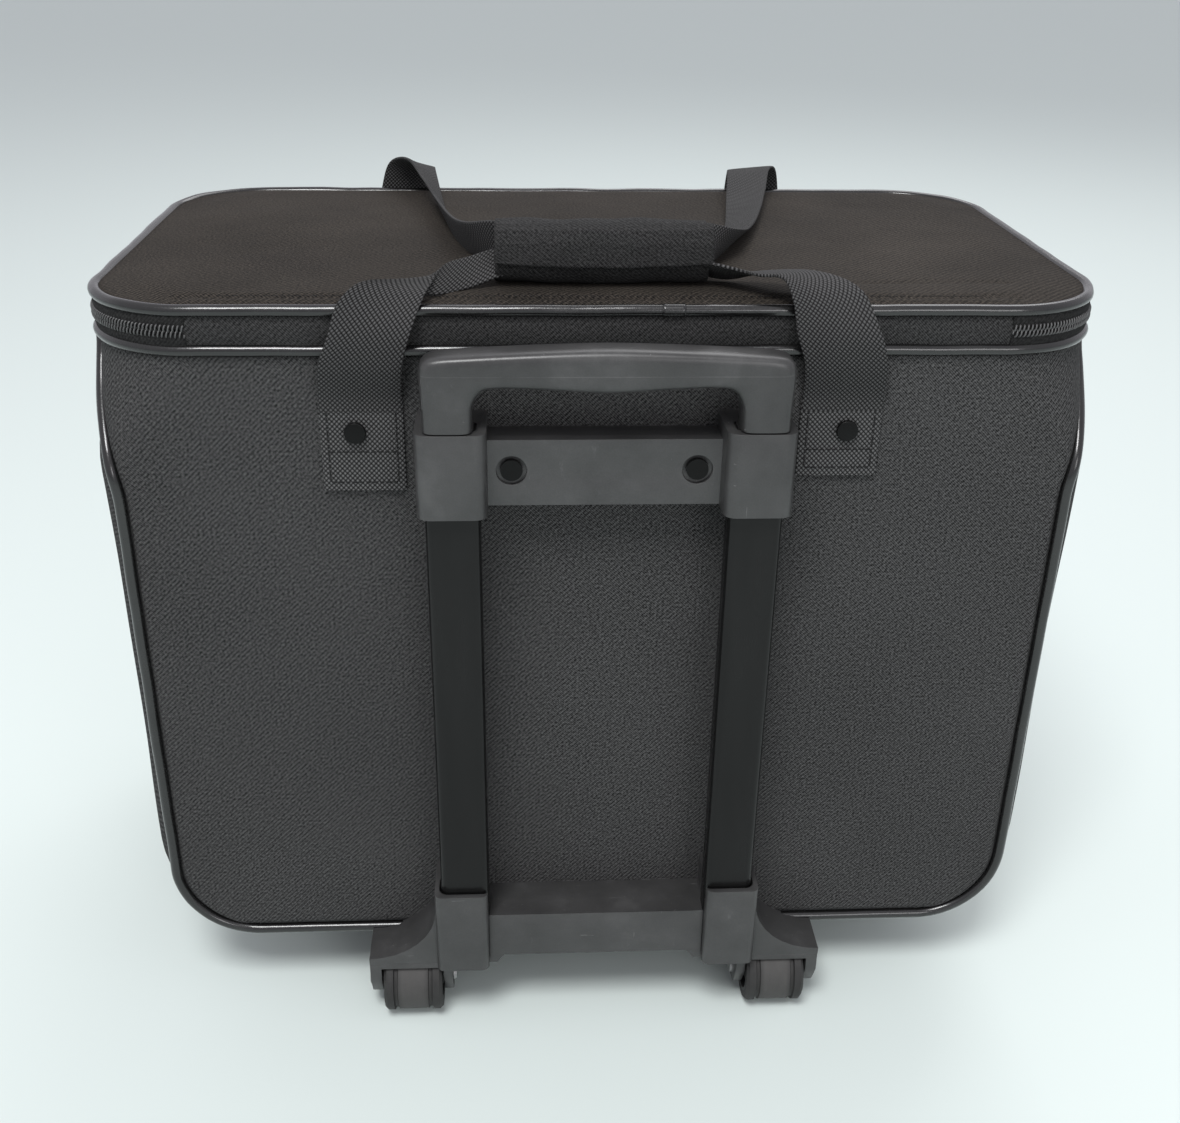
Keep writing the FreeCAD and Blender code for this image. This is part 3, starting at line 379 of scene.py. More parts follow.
def mapped(across, along, place, ring=False, caps=False):
    # a grid whose every vertex goes where place(u, w) says, with its map in metres
    bm = bmesh.new()
    bmesh.ops.create_grid(bm, x_segments=across, y_segments=along, size=0.5)
    bm.verts.ensure_lookup_table()
    layer = bm.loops.layers.uv.new("weave")
    spots = {}
    for vert in bm.verts:
        where, cloth = place(vert.co.x + 0.5, vert.co.y + 0.5)
        spots[vert] = cloth
        vert.co = where
    for face in bm.faces:
        for loop in face.loops:
            loop[layer].uv = spots[loop.vert]
    if ring:
        bmesh.ops.remove_doubles(bm, verts=bm.verts, dist=1e-6)
    if caps:
        bmesh.ops.holes_fill(bm, edges=[e for e in bm.edges if e.is_boundary], sides=0)
    bmesh.ops.recalc_face_normals(bm, faces=bm.faces)
    return bm


def thickened(piece, thickness, offset=-1):
    solid = piece.modifiers.new("wall", "SOLIDIFY")
    solid.thickness = thickness
    solid.offset = offset
    return piece


def curveThrough(keys, where):
    # Catmull-Rom through evenly numbered keys; each key is a list of vectors
    place = min(max(where, 0), 1) * (len(keys) - 1)
    first = min(int(place), len(keys) - 2)
    step = place - first
    rows = [keys[min(max(first + shift, 0), len(keys) - 1)] for shift in (-1, 0, 1, 2)]
    found = []
    for before, start, end, after in zip(*rows):
        pull = 2 * before - 5 * start + 4 * end - after
        bend = 3 * start - before - 3 * end + after
        found.append(0.5 * (2 * start + (end - before) * step + pull * step ** 2 + bend * step ** 3))
    return found


def tubeAlong(path, radius, closed, sides=14):
    # a round bead along a list of points
    count = len(path)
    lengths = [0.0]
    for here, there in zip(path, path[1:] + path[:1]):
        lengths.append(lengths[-1] + (there - here).length)
    frames = []
    side = None
    for number, here in enumerate(path):
        after = path[(number + 1) % count] if closed or number < count - 1 else here
        before = path[number - 1] if closed or number else here
        ahead = (after - before).normalized()
        if side is None:
            side = ahead.orthogonal().normalized()
        side = (side - ahead * side.dot(ahead)).normalized()
        frames.append((here, side, ahead.cross(side)))
    rows = count if closed else count - 1

    def place(u, w):
        number = round(w * rows)
        here, first, second = frames[number % count]
        angle = 2 * math.pi * u
        if u > 0.9999:
            angle = 0.0
        where = here + (first * math.cos(angle) + second * math.sin(angle)) * radius
        return where, (u * radius * 2 * math.pi, lengths[number])
    return mapped(sides, rows, place, ring=True, caps=not closed)


def ribbon(name, keys, thickness, paint, body, rows=90, nodes=(), edge=(0.55, 0.35), sides=36):
    # flat webbing with rounded edges; each key is its middle and its half-width
    samples = [curveThrough(keys, number / rows) for number in range(rows + 1)]
    lengths = [0.0]
    for here, there in zip(samples, samples[1:]):
        lengths.append(lengths[-1] + (there[0] - here[0]).length)

    def place(u, w):
        number = round(w * rows)
        middle, half = samples[number]
        ahead = samples[min(number + 1, rows)][0] - samples[max(number - 1, 0)][0]
        up = ahead.cross(half).normalized()
        angle = 0.0 if u > 0.9999 else 2 * math.pi * u
        c, s = math.cos(angle), math.sin(angle)
        out = math.copysign(abs(c) ** edge[0], c)
        lift = math.copysign(abs(s) ** edge[1], s)
        return middle + half * out + up * (lift * thickness / 2), (out * half.length, lengths[number])
    return addPiece(name, mapped(sides, rows, place, ring=True, caps=True), paint, body, nodes,
                    sharp=60)


def copyOf(node):
    bm = bmesh.new()
    bm.from_mesh(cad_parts[node].data)
    bmesh.ops.remove_doubles(bm, verts=bm.verts, dist=1e-6)
    bmesh.ops.dissolve_limit(bm, angle_limit=math.radians(1), verts=bm.verts, edges=bm.edges)
    return bm


def softened(node, width, paint, body, segments=3, angle=28, sharp=40):
    # the CAD piece with its moulded edges rounded
    bm = copyOf(node)
    edges = [e for e in bm.edges if len(e.link_faces) == 2 and e.calc_face_angle(0) > math.radians(angle)]
    bmesh.ops.bevel(bm, geom=edges, offset=width * mm, affect="EDGES", segments=segments, profile=0.5,
                    clamp_overlap=True, material=-1)
    return addPiece(node + "_finish", bm, paint, body, (node,), sharp=sharp)


def stitchRow(bm, start, end, up, pitch=3.0, length=2.1, width=0.55, height=0.3):
    # one line of thread stitches between two points, lying on a face whose normal is up
    run = end - start
    count = max(int(run.length / (pitch * mm)), 1)
    ahead = run.normalized()
    side = up.cross(ahead).normalized()
    turn = Matrix((ahead, side, up)).transposed().to_4x4()
    for number in range(count):
        middle = start + run * ((number + 0.5) / count)
        size = Matrix.Diagonal((length * mm, width * mm, height * mm, 1))
        bmesh.ops.create_cube(bm, size=1, matrix=Matrix.Translation(middle) @ turn @ size)


def planPoint(distance, outset=0.0):
    # a place on the rim's outline, counted from the middle of the trolley side towards +X
    straightX = 2 * (halfWidth - planCorner)
    straightY = depth - 2 * planCorner
    quarter = planCorner * math.pi / 2
    middle = Vector((0, (panelY + rearY) / 2))
    corners = [(1, -1), (1, 1), (-1, 1), (-1, -1)]
    distance %= 2 * (straightX + straightY) + 4 * quarter
    runs = [straightX / 2, quarter, straightY, quarter, straightX, quarter, straightY, quarter, straightX / 2]
    here = 0
    while here < 8 and distance > runs[here]:
        distance -= runs[here]
        here += 1
    cornerHalf = Vector((halfWidth - planCorner, depth / 2 - planCorner))
    radius = planCorner + outset
    if here % 2:
        sx, sy = corners[here // 2]
        angle = math.radians(90 * (here // 2) - 90) + distance / planCorner
        out = Vector((math.cos(angle), math.sin(angle)))
        return middle + Vector((sx * cornerHalf.x, sy * cornerHalf.y)) + out * radius, out
    out = Vector(((0, -1), (1, 0), (0, 1), (-1, 0), (0, -1))[here // 2])
    ahead = Vector((-out.y, out.x))
    if here == 0:
        start = Vector((0, -cornerHalf.y))
    else:
        sx, sy = corners[here // 2 - 1]
        start = Vector((sx * cornerHalf.x, sy * cornerHalf.y))
    return middle + start + ahead * distance + out * radius, out


planLength = 4 * (halfWidth - planCorner) + 2 * (depth - 2 * planCorner) + planCorner * 2 * math.pi


print("stage: body skins")
rimTop = rimLow.z / mm
floorZ = bottomZ / mm
shell = {"panelHalf": 220, "sideHalf": 231, "rimHalf": 232.5,  # half widths at the face, the side and the rim
         "pipeCorner": 42, "outerCorner": 54, "pipeInset": 8.5, "pipeDrop": 0.7, "pipeOut": 2.5,
         "pipeProud": 2.4, "wrapFrom": 294, "wrapPace": 1.2, "roundFrom": 307, "edgeRound": 4,
         "seamTurn": math.radians(84), "skin": 1.4, "flare": 1.5, "flareFrom": 200,
         "sideShare": 0.6, "sidePace": 1.5, "floorFrom": 0.8, "lowShare": 0.2}


def outline(w):
    # the seam and the outer side of the body, from one rim end down round the bottom and up again
    v = 1 - abs(2 * w - 1)
    side = -1 if w < 0.5 else 1
    corner, outer, pipeOut = shell["pipeCorner"], shell["outerCorner"], shell["pipeOut"]
    pipeHalf = shell["sideHalf"] - shell["pipeInset"]
    pipeZ = floorZ - shell["pipeDrop"]
    edgeRound = shell["edgeRound"]
    spread = 0.0
    if v < shell["sideShare"]:
        k = (v / shell["sideShare"]) ** shell["sidePace"]
        z = rimTop - k * (rimTop - pipeZ - corner)
        outerZ = rimTop - k * (rimTop - floorZ - outer)
        shift = smoothStep((z - shell["roundFrom"]) / (rimTop - shell["roundFrom"]))
        spread = smoothStep(shell["wrapPace"] * (z - shell["wrapFrom"]) / (rimTop - shell["wrapFrom"]))
        flare = shell["flare"] * smoothStep((z - shell["flareFrom"]) / (rimTop - shell["flareFrom"]))
        edgeRound += (planCorner / mm - edgeRound) * shift
        edgeHalf = shell["panelHalf"] + (shell["rimHalf"] - shell["panelHalf"]) * spread
        edge = (edgeHalf, z)
        out = (shell["sideHalf"] + flare, outerZ)
        pipe = (edgeHalf + pipeOut * (1 - spread), z)
    elif v < shell["floorFrom"]:
        turn = (v - shell["sideShare"]) / shell["lowShare"] * math.pi / 2
        c, s = math.cos(turn), math.sin(turn)
        edge = (pipeHalf - corner + (corner - pipeOut) * c, pipeZ + corner - (corner - pipeOut) * s)
        out = (shell["sideHalf"] - outer + outer * c, floorZ + outer - outer * s)
        pipe = (pipeHalf - corner + corner * c, pipeZ + corner - corner * s)
    else:
        k = 1 - (v - shell["floorFrom"]) / shell["lowShare"]
        edge = ((pipeHalf - corner) * k, pipeZ + pipeOut)
        out = ((shell["sideHalf"] - outer) * k, floorZ)
        pipe = ((pipeHalf - corner) * k, pipeZ)
    seamY = edgeRound * (1 - math.cos(shell["seamTurn"]))
    pipeY = seamY - shell["pipeProud"] * (1 - spread)
    return {"edge": edge, "outer": out, "pipe": pipe, "side": side, "round": edgeRound, "seamY": seamY,
            "pipeY": pipeY}


panel = {"across": 110, "along": 60, "flatShare": 0.8, "turnShare": 0.2, "hemRound": 4, "hemLift": 1.8,
         "calmSide": 30, "calmRim": 25, "dentSize": 70, "dent": 0.8, "dentLeast": -0.1}


def panelSkin(front):
    def place(u, w):
        row = outline(w * (shell["floorFrom"] / 2))
        half, z = row["edge"]
        s = 2 * u - 1
        r = row["round"]
        flat = half - r * math.sin(shell["seamTurn"])
        if abs(s) <= panel["flatShare"]:
            x = cloth = s / panel["flatShare"] * flat
            y = 0.0
        else:
            angle = (abs(s) - panel["flatShare"]) / panel["turnShare"] * shell["seamTurn"]
            x = math.copysign(flat + r * math.sin(angle), s)
            y = r * (1 - math.cos(angle))
            cloth = math.copysign(flat + r * angle, s)
        hem = panel["hemRound"]
        low = max(hem - (z - floorZ - panel["hemLift"]), 0)
        if low:
            y = max(y, hem - math.sqrt(max(hem * hem - low * low, 0)))
        calm = min(1, (half - abs(x)) / panel["calmSide"], (z - floorZ) / panel["calmSide"],
                   (rimTop - z) / panel["calmRim"])
        where = Vector((x / panel["dentSize"], z / panel["dentSize"], 3 if front else 9))
        dent = noise.noise(where) * panel["dent"]
        y -= max(calm, 0) * max(dent, panel["dentLeast"])
        y = panelY / mm + y if front else rearY / mm - y
        return Vector((x, y, z)) * mm, (cloth * mm, z * mm)
    bm = mapped(panel["across"], panel["along"], place)
    if not front:
        bmesh.ops.reverse_faces(bm, faces=bm.faces)
    return bm


def facing(bm, direction):
    # turns an open skin so its faces look the given way
    bm.normal_update()
    total = sum((face.normal * face.calc_area() for face in bm.faces), Vector())
    if total.dot(direction) < 0:
        bmesh.ops.reverse_faces(bm, faces=bm.faces)
    return bm


for node, front in (("front_panel", True), ("back_panel", False)):
    outwards = Vector((0, -1 if front else 1, 0))
    skin = addPiece(node + "_skin", facing(panelSkin(front), outwards), panelCloth, "case",
                    (node,))
    thickened(skin, shell["skin"] * mm)

sides = {"across": 48, "along": 120, "reach": 13.0, "edgeShare": 0.25, "edgePace": 1.2, "steepFrom": 0.75,
         "steepGain": 4, "crownFade": 60, "dentSize": 80, "dent": 1.2, "dentFade": 50, "clothLength": 1.03}


def gussetPlace(u, w):
    row = outline(w)
    start = panelY / mm + row["seamY"]
    end = rearY / mm - row["seamY"]
    reach, edgeShare = sides["reach"], sides["edgeShare"]
    near = min(u, 1 - u)
    if near < edgeShare:
        d = reach * (near / edgeShare) ** sides["edgePace"]
    else:
        d = reach + (near - edgeShare) / edgeShare * ((end - start) / 2 - reach)
    y = start + d if u <= 0.5 else end - d
    share = math.sqrt(1 - (1 - min(d / reach, 1)) ** 2)
    x = row["edge"][0] + (row["outer"][0] - row["edge"][0]) * share
    z = row["edge"][1] + (row["outer"][1] - row["edge"][1]) * share
    steep = max(abs(row["outer"][0]) / shell["sideHalf"] - sides["steepFrom"], 0)
    crown = math.sin(math.pi * u) * min((rimTop - z) / sides["crownFade"], 1) * steep * sides["steepGain"]
    where = Vector((y / sides["dentSize"], z / sides["dentSize"], row["side"] * 5))
    dent = noise.noise(where) * sides["dent"] * min((rimTop - z) / sides["dentFade"], 1) * share
    x += crown + dent * steep * sides["steepGain"]
    return Vector((x * row["side"], y, z)) * mm, (y * mm, (w - 0.5) * sides["clothLength"])


gusset = addPiece("gusset_skin", mapped(sides["across"], sides["along"], gussetPlace), panelCloth, "case",
                  ("gusset",))
probe = max(gusset.data.polygons, key=lambda face: face.center.x)
if probe.normal.x < 0:
    gusset.data.flip_normals()
thickened(gusset, shell["skin"] * mm)

panelPipe = {"points": 240, "jogEvery": 6, "jog": 0.35, "endLift": 0.5}
for node, front in (("front_piping", True), ("back_piping", False)):
    path = []
    for number in range(panelPipe["points"] + 1):
        row = outline(number / panelPipe["points"])
        y = panelY / mm + row["pipeY"] if front else rearY / mm - row["pipeY"]
        jog = noise.noise(Vector((number / panelPipe["jogEvery"], 0, 2 if front else 5))) * panelPipe["jog"]
        path.append(Vector((row["pipe"][0] * row["side"] + jog, y, row["pipe"][1] + jog * 0.5)) * mm)
    path[0].z = path[-1].z = rimLow.z + panelPipe["endLift"] * mm
    addPiece(node + "_bead", tubeAlong(path, bead, False), pipingVinyl, "case", (node,))

print("stage: rim, zip and lid")

rimPipe = {"points": 420, "waveScale": 45, "wave": 0.5, "waveRise": 0.8}


def rimBead(name, z, body, node, seed):
    path = []
    for number in range(rimPipe["points"]):
        where, out = planPoint(planLength * number / rimPipe["points"])
        wave = noise.noise(Vector((where.x * rimPipe["waveScale"], where.y * rimPipe["waveScale"], seed)))
        shift = wave * rimPipe["wave"] * mm
        where = where + out * shift
        path.append(Vector((where.x, where.y, z + shift * rimPipe["waveRise"])))
    return addPiece(name, tubeAlong(path, bead, True), pipingVinyl, body, (node,))


rimBead("rim_bead", rimZ, "case", "rim_piping", 1.0)
rimBead("lid_bead", lidZ, "lid", "lid_piping", 8.0)
pipeJoin = {"start": 25, "step": 1.3, "points": 9, "out": -0.25, "up": 0.15, "swell": 1.1}
joinPath = [spot(pipeJoin["start"] + pipeJoin["step"] * step, pipeJoin["out"], pipeJoin["up"])
            for step in range(pipeJoin["points"])]
addPiece("lid_bead_join", tubeAlong(joinPath, bead * pipeJoin["swell"], False), pipingVinyl, "lid")

hinge = {"half": 183.0, "over": 2, "thick": 0.9, "bulge": 0.9, "proud": 0.2, "rippleSize": 25, "ripple": 0.35,
         "tuck": 1.5, "foldOut": 1.6, "foldHalf": 5}
zipStart = hinge["half"] * mm
zipRun = planLength - 2 * zipStart
zipTape = {"across": 6, "along": 360, "thick": 0.9, "proud": 0.4, "bulge": 0.8, "tuck": 1.5, "gap": 0.5}


def tape(name, z0, z1, body, node):
    def place(u, w):
        where, out = planPoint(zipStart + zipRun * w)
        bulge = (zipTape["proud"] + zipTape["bulge"] * math.sin(math.pi * u)) * mm
        where = where + out * bulge
        return Vector((where.x, where.y, z0 + (z1 - z0) * u)), (zipRun * w, (z1 - z0) * u)
    bm = mapped(zipTape["across"], zipTape["along"], place)
    return thickened(addPiece(name, bm, tapeCloth, body, (node,)), zipTape["thick"] * mm, 0)


tuck, gap = zipTape["tuck"] * mm, zipTape["gap"] * mm
tape("lower_tape", rimHigh.z - tuck, zipZ - gap, "case", "zip_tape_lower")
tape("upper_tape", zipZ + gap, lidLow.z + tuck, "lid", "zip_tape_upper")
coil = {"pitch": 1.9, "radius": 1.45, "wire": 0.42, "steps": 9, "sides": 5, "lift": 1.25, "proud": 1.3,
        "flat": 0.7}


def coilPath(lift, phase):
    turns = int(zipRun / (coil["pitch"] * mm))
    path = []
    for number in range(turns * coil["steps"] + 1):
        share = number / (turns * coil["steps"])
        where, out = planPoint(zipStart + zipRun * share)
        angle = 2 * math.pi * (number / coil["steps"] + phase)
        where = where + out * (coil["proud"] + coil["flat"] * coil["radius"] * math.cos(angle)) * mm
        path.append(Vector((where.x, where.y, zipZ + (lift + coil["radius"] * math.sin(angle)) * mm)))
    return path


for node, side, phase, body in (("zip_coil_lower", -1, 0, "case"), ("zip_coil_upper", 1, 0.5, "lid")):
    wire = tubeAlong(coilPath(side * coil["lift"], phase), coil["wire"] * mm, False, sides=coil["sides"])
    addPiece(node + "_wound", wire, coilPlastic, body, (node,))


def hingePlace(u, w):
    x = (2 * u - 1) * (hinge["half"] + hinge["over"])
    ripple = noise.noise(Vector((x / hinge["rippleSize"], w, 4))) * hinge["ripple"]
    bulge = hinge["bulge"] * math.sin(math.pi * w) + ripple
    z = rimZ / mm + hinge["tuck"] + (lidZ / mm - rimZ / mm - 2 * hinge["tuck"]) * w
    return Vector((x, panelY / mm - hinge["proud"] - bulge, z)) * mm, (x * mm, z * mm)


strip = addPiece("hinge_cloth", facing(mapped(150, 14, hingePlace), Vector((0, -1, 0))), hingeCloth, None,
                 ("hinge_strip",))
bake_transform(strip)
thickened(strip, hinge["thick"] * mm)


lidShape = {"across": 150, "along": 110, "inset": 1.9, "thick": 2.2, "edgeRun": 14, "rise": 1.4, "crown": 2.2,
            "waveScale": 14, "wave": 0.7, "rippleScale": 50, "ripple": 0.25, "seamEnds": 40,
            "seamFrom": 9.5, "seamWide": 1.6, "seamDepth": 1.1, "hemFrom": 5.0, "hemWide": 3.0,
            "hemRise": 0.7, "creaseFrom": 32, "creaseWide": 2.5, "creaseDepth": 0.7, "creaseSide": 60}


def hump(distance, width):
    return math.exp(-(distance / width) ** 2)


def lidPlace(u, w):
    # rings of the rounded rectangle, squeezed towards the middle
    a, b = 2 * u - 1, 2 * w - 1
    inset = lidShape["inset"] * mm
    halfX, halfY = halfWidth - inset, depth / 2 - inset
    ring = max(abs(a), abs(b))
    x, y = a * halfX, b * halfY
    r = (planCorner - inset) * ring
    cornerX, cornerY = halfX * ring - r, halfY * ring - r
    if abs(x) > cornerX and abs(y) > cornerY and ring > 0.02:
        dx, dy = (abs(x) - cornerX) / r, (abs(y) - cornerY) / r
        angle = dy * math.pi / 4 if dx > dy else math.pi / 2 - dx * math.pi / 4
        x = math.copysign(cornerX + r * math.cos(angle), x)
        y = math.copysign(cornerY + r * math.sin(angle), y)
    edge = min(1, (1 - ring) * halfY / (lidShape["edgeRun"] * mm))
    waveScale, rippleScale = lidShape["waveScale"], lidShape["rippleScale"]
    lift = lidShape["rise"] + lidShape["crown"] * smoothStep(edge)
    lift += noise.noise(Vector((x * waveScale, y * waveScale, 1))) * lidShape["wave"] * edge
    lift += noise.noise(Vector((x * rippleScale, y * rippleScale, 6))) * lidShape["ripple"] * edge
    fromFront = (y + halfY) / mm
    if abs(x) < halfX - lidShape["seamEnds"] * mm:
        lift -= lidShape["seamDepth"] * hump(fromFront - lidShape["seamFrom"], lidShape["seamWide"])
        lift += lidShape["hemRise"] * hump(fromFront - lidShape["hemFrom"], lidShape["hemWide"])
        side = smoothStep((x / mm - lidShape["creaseSide"]) / lidShape["creaseSide"])
        crease = hump(fromFront - lidShape["creaseFrom"], lidShape["creaseWide"]) * side
        lift -= lidShape["creaseDepth"] * crease
    return Vector((x, y + (panelY + rearY) / 2, lidZ + lift * mm)), (x, y)


lidMesh = facing(mapped(lidShape["across"], lidShape["along"], lidPlace), Vector((0, 0, 1)))
# the lid cloth carries a painted warm reflected light tint
lidSkin = addPiece("lid_cloth", lidMesh, lidClothWarmLit, "lid", ("lid_panel",))
thickened(lidSkin, lidShape["thick"] * mm)

print("stage: straps and wrap")
web = {"thick": 1.9, "rows": 140, "frontOut": 4, "backOut": 6, "bendLow": 46, "bendHigh": 30}


def keyed(rows):
    return [[spot(*row[0]), Vector(row[1]) * mm] for row in rows]


frontLeft = keyed([((-109.25, -1.6, -46), (18.75, 0, 0)), ((-109.2, -2.6, -38), (18.75, 0, 0)),
                   ((-107.5, -8.5, -22), (18.5, -0.5, 0)), ((-102.5, -10, -7), (18, 0, 1)),
                   ((-97, -4, 6.5), (18, 4, 0)), ((-89, 5, 11.5), (13, 6, -2)), ((-75, 16, 9.5), (4, 7, 5)),
                   ((-61, 26, 10), (1, 6, 6)), ((-47, 33, 13), (0, 7, 5)), ((-36, 36, 14), (0, 8, 4))])
frontRight = keyed([((109.25, -1.6, -46), (18.75, 0, 0)), ((109.2, -2.6, -38), (18.75, 0, 0)),
                    ((107.5, -8.5, -22), (18.8, 0, 0)), ((102.5, -10, -7), (18.8, 0.5, 0)),
                    ((97, -4, 8), (16, 5, 1)), ((87, 7, 14), (10, 9, -1)), ((72, 18, 12), (4, 11, -2)),
                    ((58, 26, 10), (1, 10, -5)), ((46, 31, 11), (0, 9, -5)), ((36, 33, 11), (0, 9, -5))])
backLeft = keyed([((-109.25, 258.6, -46), (18.75, 0, 0)), ((-109, 259.6, -38), (18.75, 0, 0)),
                  ((-107, 265.5, -20), (18.5, 0, 0)), ((-104, 266.5, -2), (17, 0, 0)),
                  ((-101, 259, 15), (14, -3, -1)), ((-94, 240, 18), (9, -5, -4)),
                  ((-86, 205, 12), (6, -5, -6)),
                  ((-78, 160, 9), (4, -4, -7)), ((-69, 112, 9), (3, -2, -8)), ((-60, 76, 14), (3, 0, -8)),
                  ((-49, 53, 20), (1, 2, -8)), ((-38, 46, 20), (0, 3, -7))])
backRight = keyed([((109.25, 258.6, -46), (18.75, 0, 0)), ((109.2, 259.6, -38), (18.75, 0, 0)),
                   ((108, 265.5, -20), (18.5, 0, 0)), ((107, 266.5, -2), (17, 0, 0)),
                   ((105, 259, 13), (15, 0, 1)), ((100, 240, 16), (13, 3, 1)), ((93, 202, 10), (12, 5, 2)),
                   ((84, 155, 6.5), (10, 5, 3)), ((73, 108, 7), (8, 4, 5)), ((62, 73, 12), (6, 4, 7)),
                   ((50, 52, 19), (1, 5, 7)), ((38, 45, 21), (0, 6, 6))])
frontFold, backFold = panelY - web["frontOut"] * mm, rearY + web["backOut"] * mm
straps = (("front_strap_left", frontLeft, "front_strap", "front_handle", frontFold),
          ("front_strap_right", frontRight, "front_strap", "front_handle", frontFold),
          ("back_strap_left", backLeft, "back_strap", "back_handle", backFold),
          ("back_strap_right", backRight, "back_strap", "back_handle", backFold))
for name, keys, node, handle, y in straps:
    # the straps take the copy of the webbing that is painted darker as shade
    strap = ribbon(name, keys, web["thick"] * mm, strapWebShaded, None, nodes=(node,), rows=web["rows"])
    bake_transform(strap)

wrap = {"centre": (40.0, 17.0), "half": (15.3, 13.6), "x": 48.5, "wall": 1.8, "pinch": 0.05, "rippleSize": 18,
        "rippleTurns": 1.4, "ripple": 0.9, "squareY": 0.62, "squareZ": 0.7, "clothRadius": 14}


def wrapPlace(u, w):
    angle = 0.0 if u > 0.9999 else 2 * math.pi * u
    x = (2 * w - 1) * wrap["x"]
    c, s = math.cos(angle), math.sin(angle)
    ends = 1 - wrap["pinch"] * abs(2 * w - 1) ** 3
    ripple = noise.noise(Vector((x / wrap["rippleSize"], c * wrap["rippleTurns"], s * wrap["rippleTurns"])))
    ripple = ripple * wrap["ripple"]
    y = wrap["centre"][0] + math.copysign(abs(c) ** wrap["squareY"], c) * (wrap["half"][0] * ends + ripple)
    z = wrap["centre"][1] + math.copysign(abs(s) ** wrap["squareZ"], s) * (wrap["half"][1] * ends + ripple)
    return spot(x, y, z), (x * mm, angle * wrap["clothRadius"] * mm)


sleeve = addPiece("wrap_cloth", mapped(64, 70, wrapPlace, ring=True), wrapCloth, "front_handle",
                  ("wrap_sleeve",))
thickened(sleeve, wrap["wall"] * mm)

flapShape = {"start": -48.6, "length": 98.6, "wall": 1.6, "dip": 1.8, "clothLength": 24, "ripple": 0.6,
             "proud": 0.3, "flutter": 0.4,
             "profile": ((31.5, 30.6), (25.5, 28.8), (22.6, 24.0), (21.9, 19.0), (21.6, 15.2))}


def flapPlace(u, w):
    x = flapShape["start"] + flapShape["length"] * u
    steps = list(flapShape["profile"])
    steps[-1] = (steps[-1][0], steps[-1][1] - flapShape["dip"] * math.sin(math.pi * u))
    at = w * (len(steps) - 1)
    first = min(int(at), len(steps) - 2)
    share = at - first
    y = steps[first][0] + (steps[first + 1][0] - steps[first][0]) * share
    z = steps[first][1] + (steps[first + 1][1] - steps[first][1]) * share
    y -= noise.noise(Vector((x / 14, w * 2, 3))) * flapShape["ripple"] + flapShape["proud"]
    z += noise.noise(Vector((x / 20, w * 2, 8))) * flapShape["flutter"]
    return spot(x, y, z), (x * mm, w * flapShape["clothLength"] * mm)


flap = addPiece("flap_cloth", facing(mapped(70, 20, flapPlace), Vector((0, -1, 0))), wrapCloth, "flap",
                ("wrap_flap",))
thickened(flap, flapShape["wall"] * mm, 0)

print("stage: patches and stitches")
patch = {"half": 18.9, "thick": 2.3, "centre": 109.25, "rear": 257, "leftLow": -84, "rightLow": -78,
         "first": 12, "middle": -54, "top": -40.8, "rows": 24}
patchSides = (("left", -patch["centre"], patch["leftLow"]), ("right", patch["centre"], patch["rightLow"]))
patchFaces = (("front_patches", -patch["thick"] / 2), ("back_patches", patch["rear"] + patch["thick"] / 2))
for node, base in patchFaces:
    for side, centre, low in patchSides:
        heights = (low, low + patch["first"], patch["middle"], patch["top"])
        keys = keyed([((centre, base, height), (patch["half"], 0, 0)) for height in heights])
        # the patches take the copy of the webbing that is painted paler as light
        ribbon(node + "_" + side, keys, patch["thick"] * mm, patchWebLit, "case", rows=patch["rows"],
               nodes=(node,))

stitch = {"proud": 2.35, "half": 15.5, "top": -45, "aboveLow": 4, "crossDown": 20}
stitches = bmesh.new()
for _, centre, low in patchSides:
    for y, outwards in ((-stitch["proud"], -1), (patch["rear"] + stitch["proud"], 1)):
        up = Vector((0, outwards, 0))
        left, right, foot = centre - stitch["half"], centre + stitch["half"], low + stitch["aboveLow"]
        corners = [spot(left, y, stitch["top"]), spot(right, y, stitch["top"]), spot(right, y, foot),
                   spot(left, y, foot)]
        for start, end in zip(corners, corners[1:] + corners[:1]):
            stitchRow(stitches, start, end, up)
        down = Vector((0, 0, stitch["crossDown"] * mm))
        stitchRow(stitches, corners[0] - down, corners[1] - down, up)
addPiece("patch_stitches", stitches, threadBlack, "case")
hemStitch = {"half": 170, "y": 8.2, "z": 4.3}
seam = bmesh.new()
stitchRow(seam, spot(-hemStitch["half"], hemStitch["y"], hemStitch["z"]),
          spot(hemStitch["half"], hemStitch["y"], hemStitch["z"]), Vector((0, 0, 1)), pitch=3.4, length=2.4,
          width=0.45, height=0.25)
addPiece("lid_seam_stitches", seam, threadBlack, "lid")

print("stage: grip")
gripFront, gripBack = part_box("grip_upper_shell")[0].y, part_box("grip_upper_shell")[1].y
gripMiddle = (gripFront + gripBack) / 2 / mm
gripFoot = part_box("grip_lower_shell")[0].z / mm
# half of the hand hole's edge and of the outer edge, from the tube end to the middle of the top
grip = {"inner": ((58.5, gripFoot), (58.5, 347), (58.3, 352), (57, 356), (54.5, 359.2), (50.5, 361),
                  (42, 361.3), (25, 360.4), (0, 359)),
        "outer": ((80.5, gripFoot), (80.6, 349), (80.9, 359), (81, 367), (79.8, 372.4), (74, 375.2),
                  (58, 376.4), (30, 377.7), (0, 378.5)),
        "rows": 150, "sides": 56, "edge": (0.42, 0.5)}
gripLast = len(grip["inner"]) - 1
gripKeys = []
for side, order in ((-1, range(gripLast + 1)), (1, range(gripLast - 1, -1, -1))):
    for number in order:
        low, high = (Vector((place[0] * side, gripMiddle, place[1])) * mm
                     for place in (grip["inner"][number], grip["outer"][number]))
        gripKeys.append([(low + high) / 2, (high - low) / 2])
ribbon("grip_moulding", gripKeys, gripBack - gripFront, gripPlastic, "trolley_grip",
       rows=grip["rows"], nodes=("grip_upper_shell", "grip_lower_shell"), edge=grip["edge"],
       sides=grip["sides"])

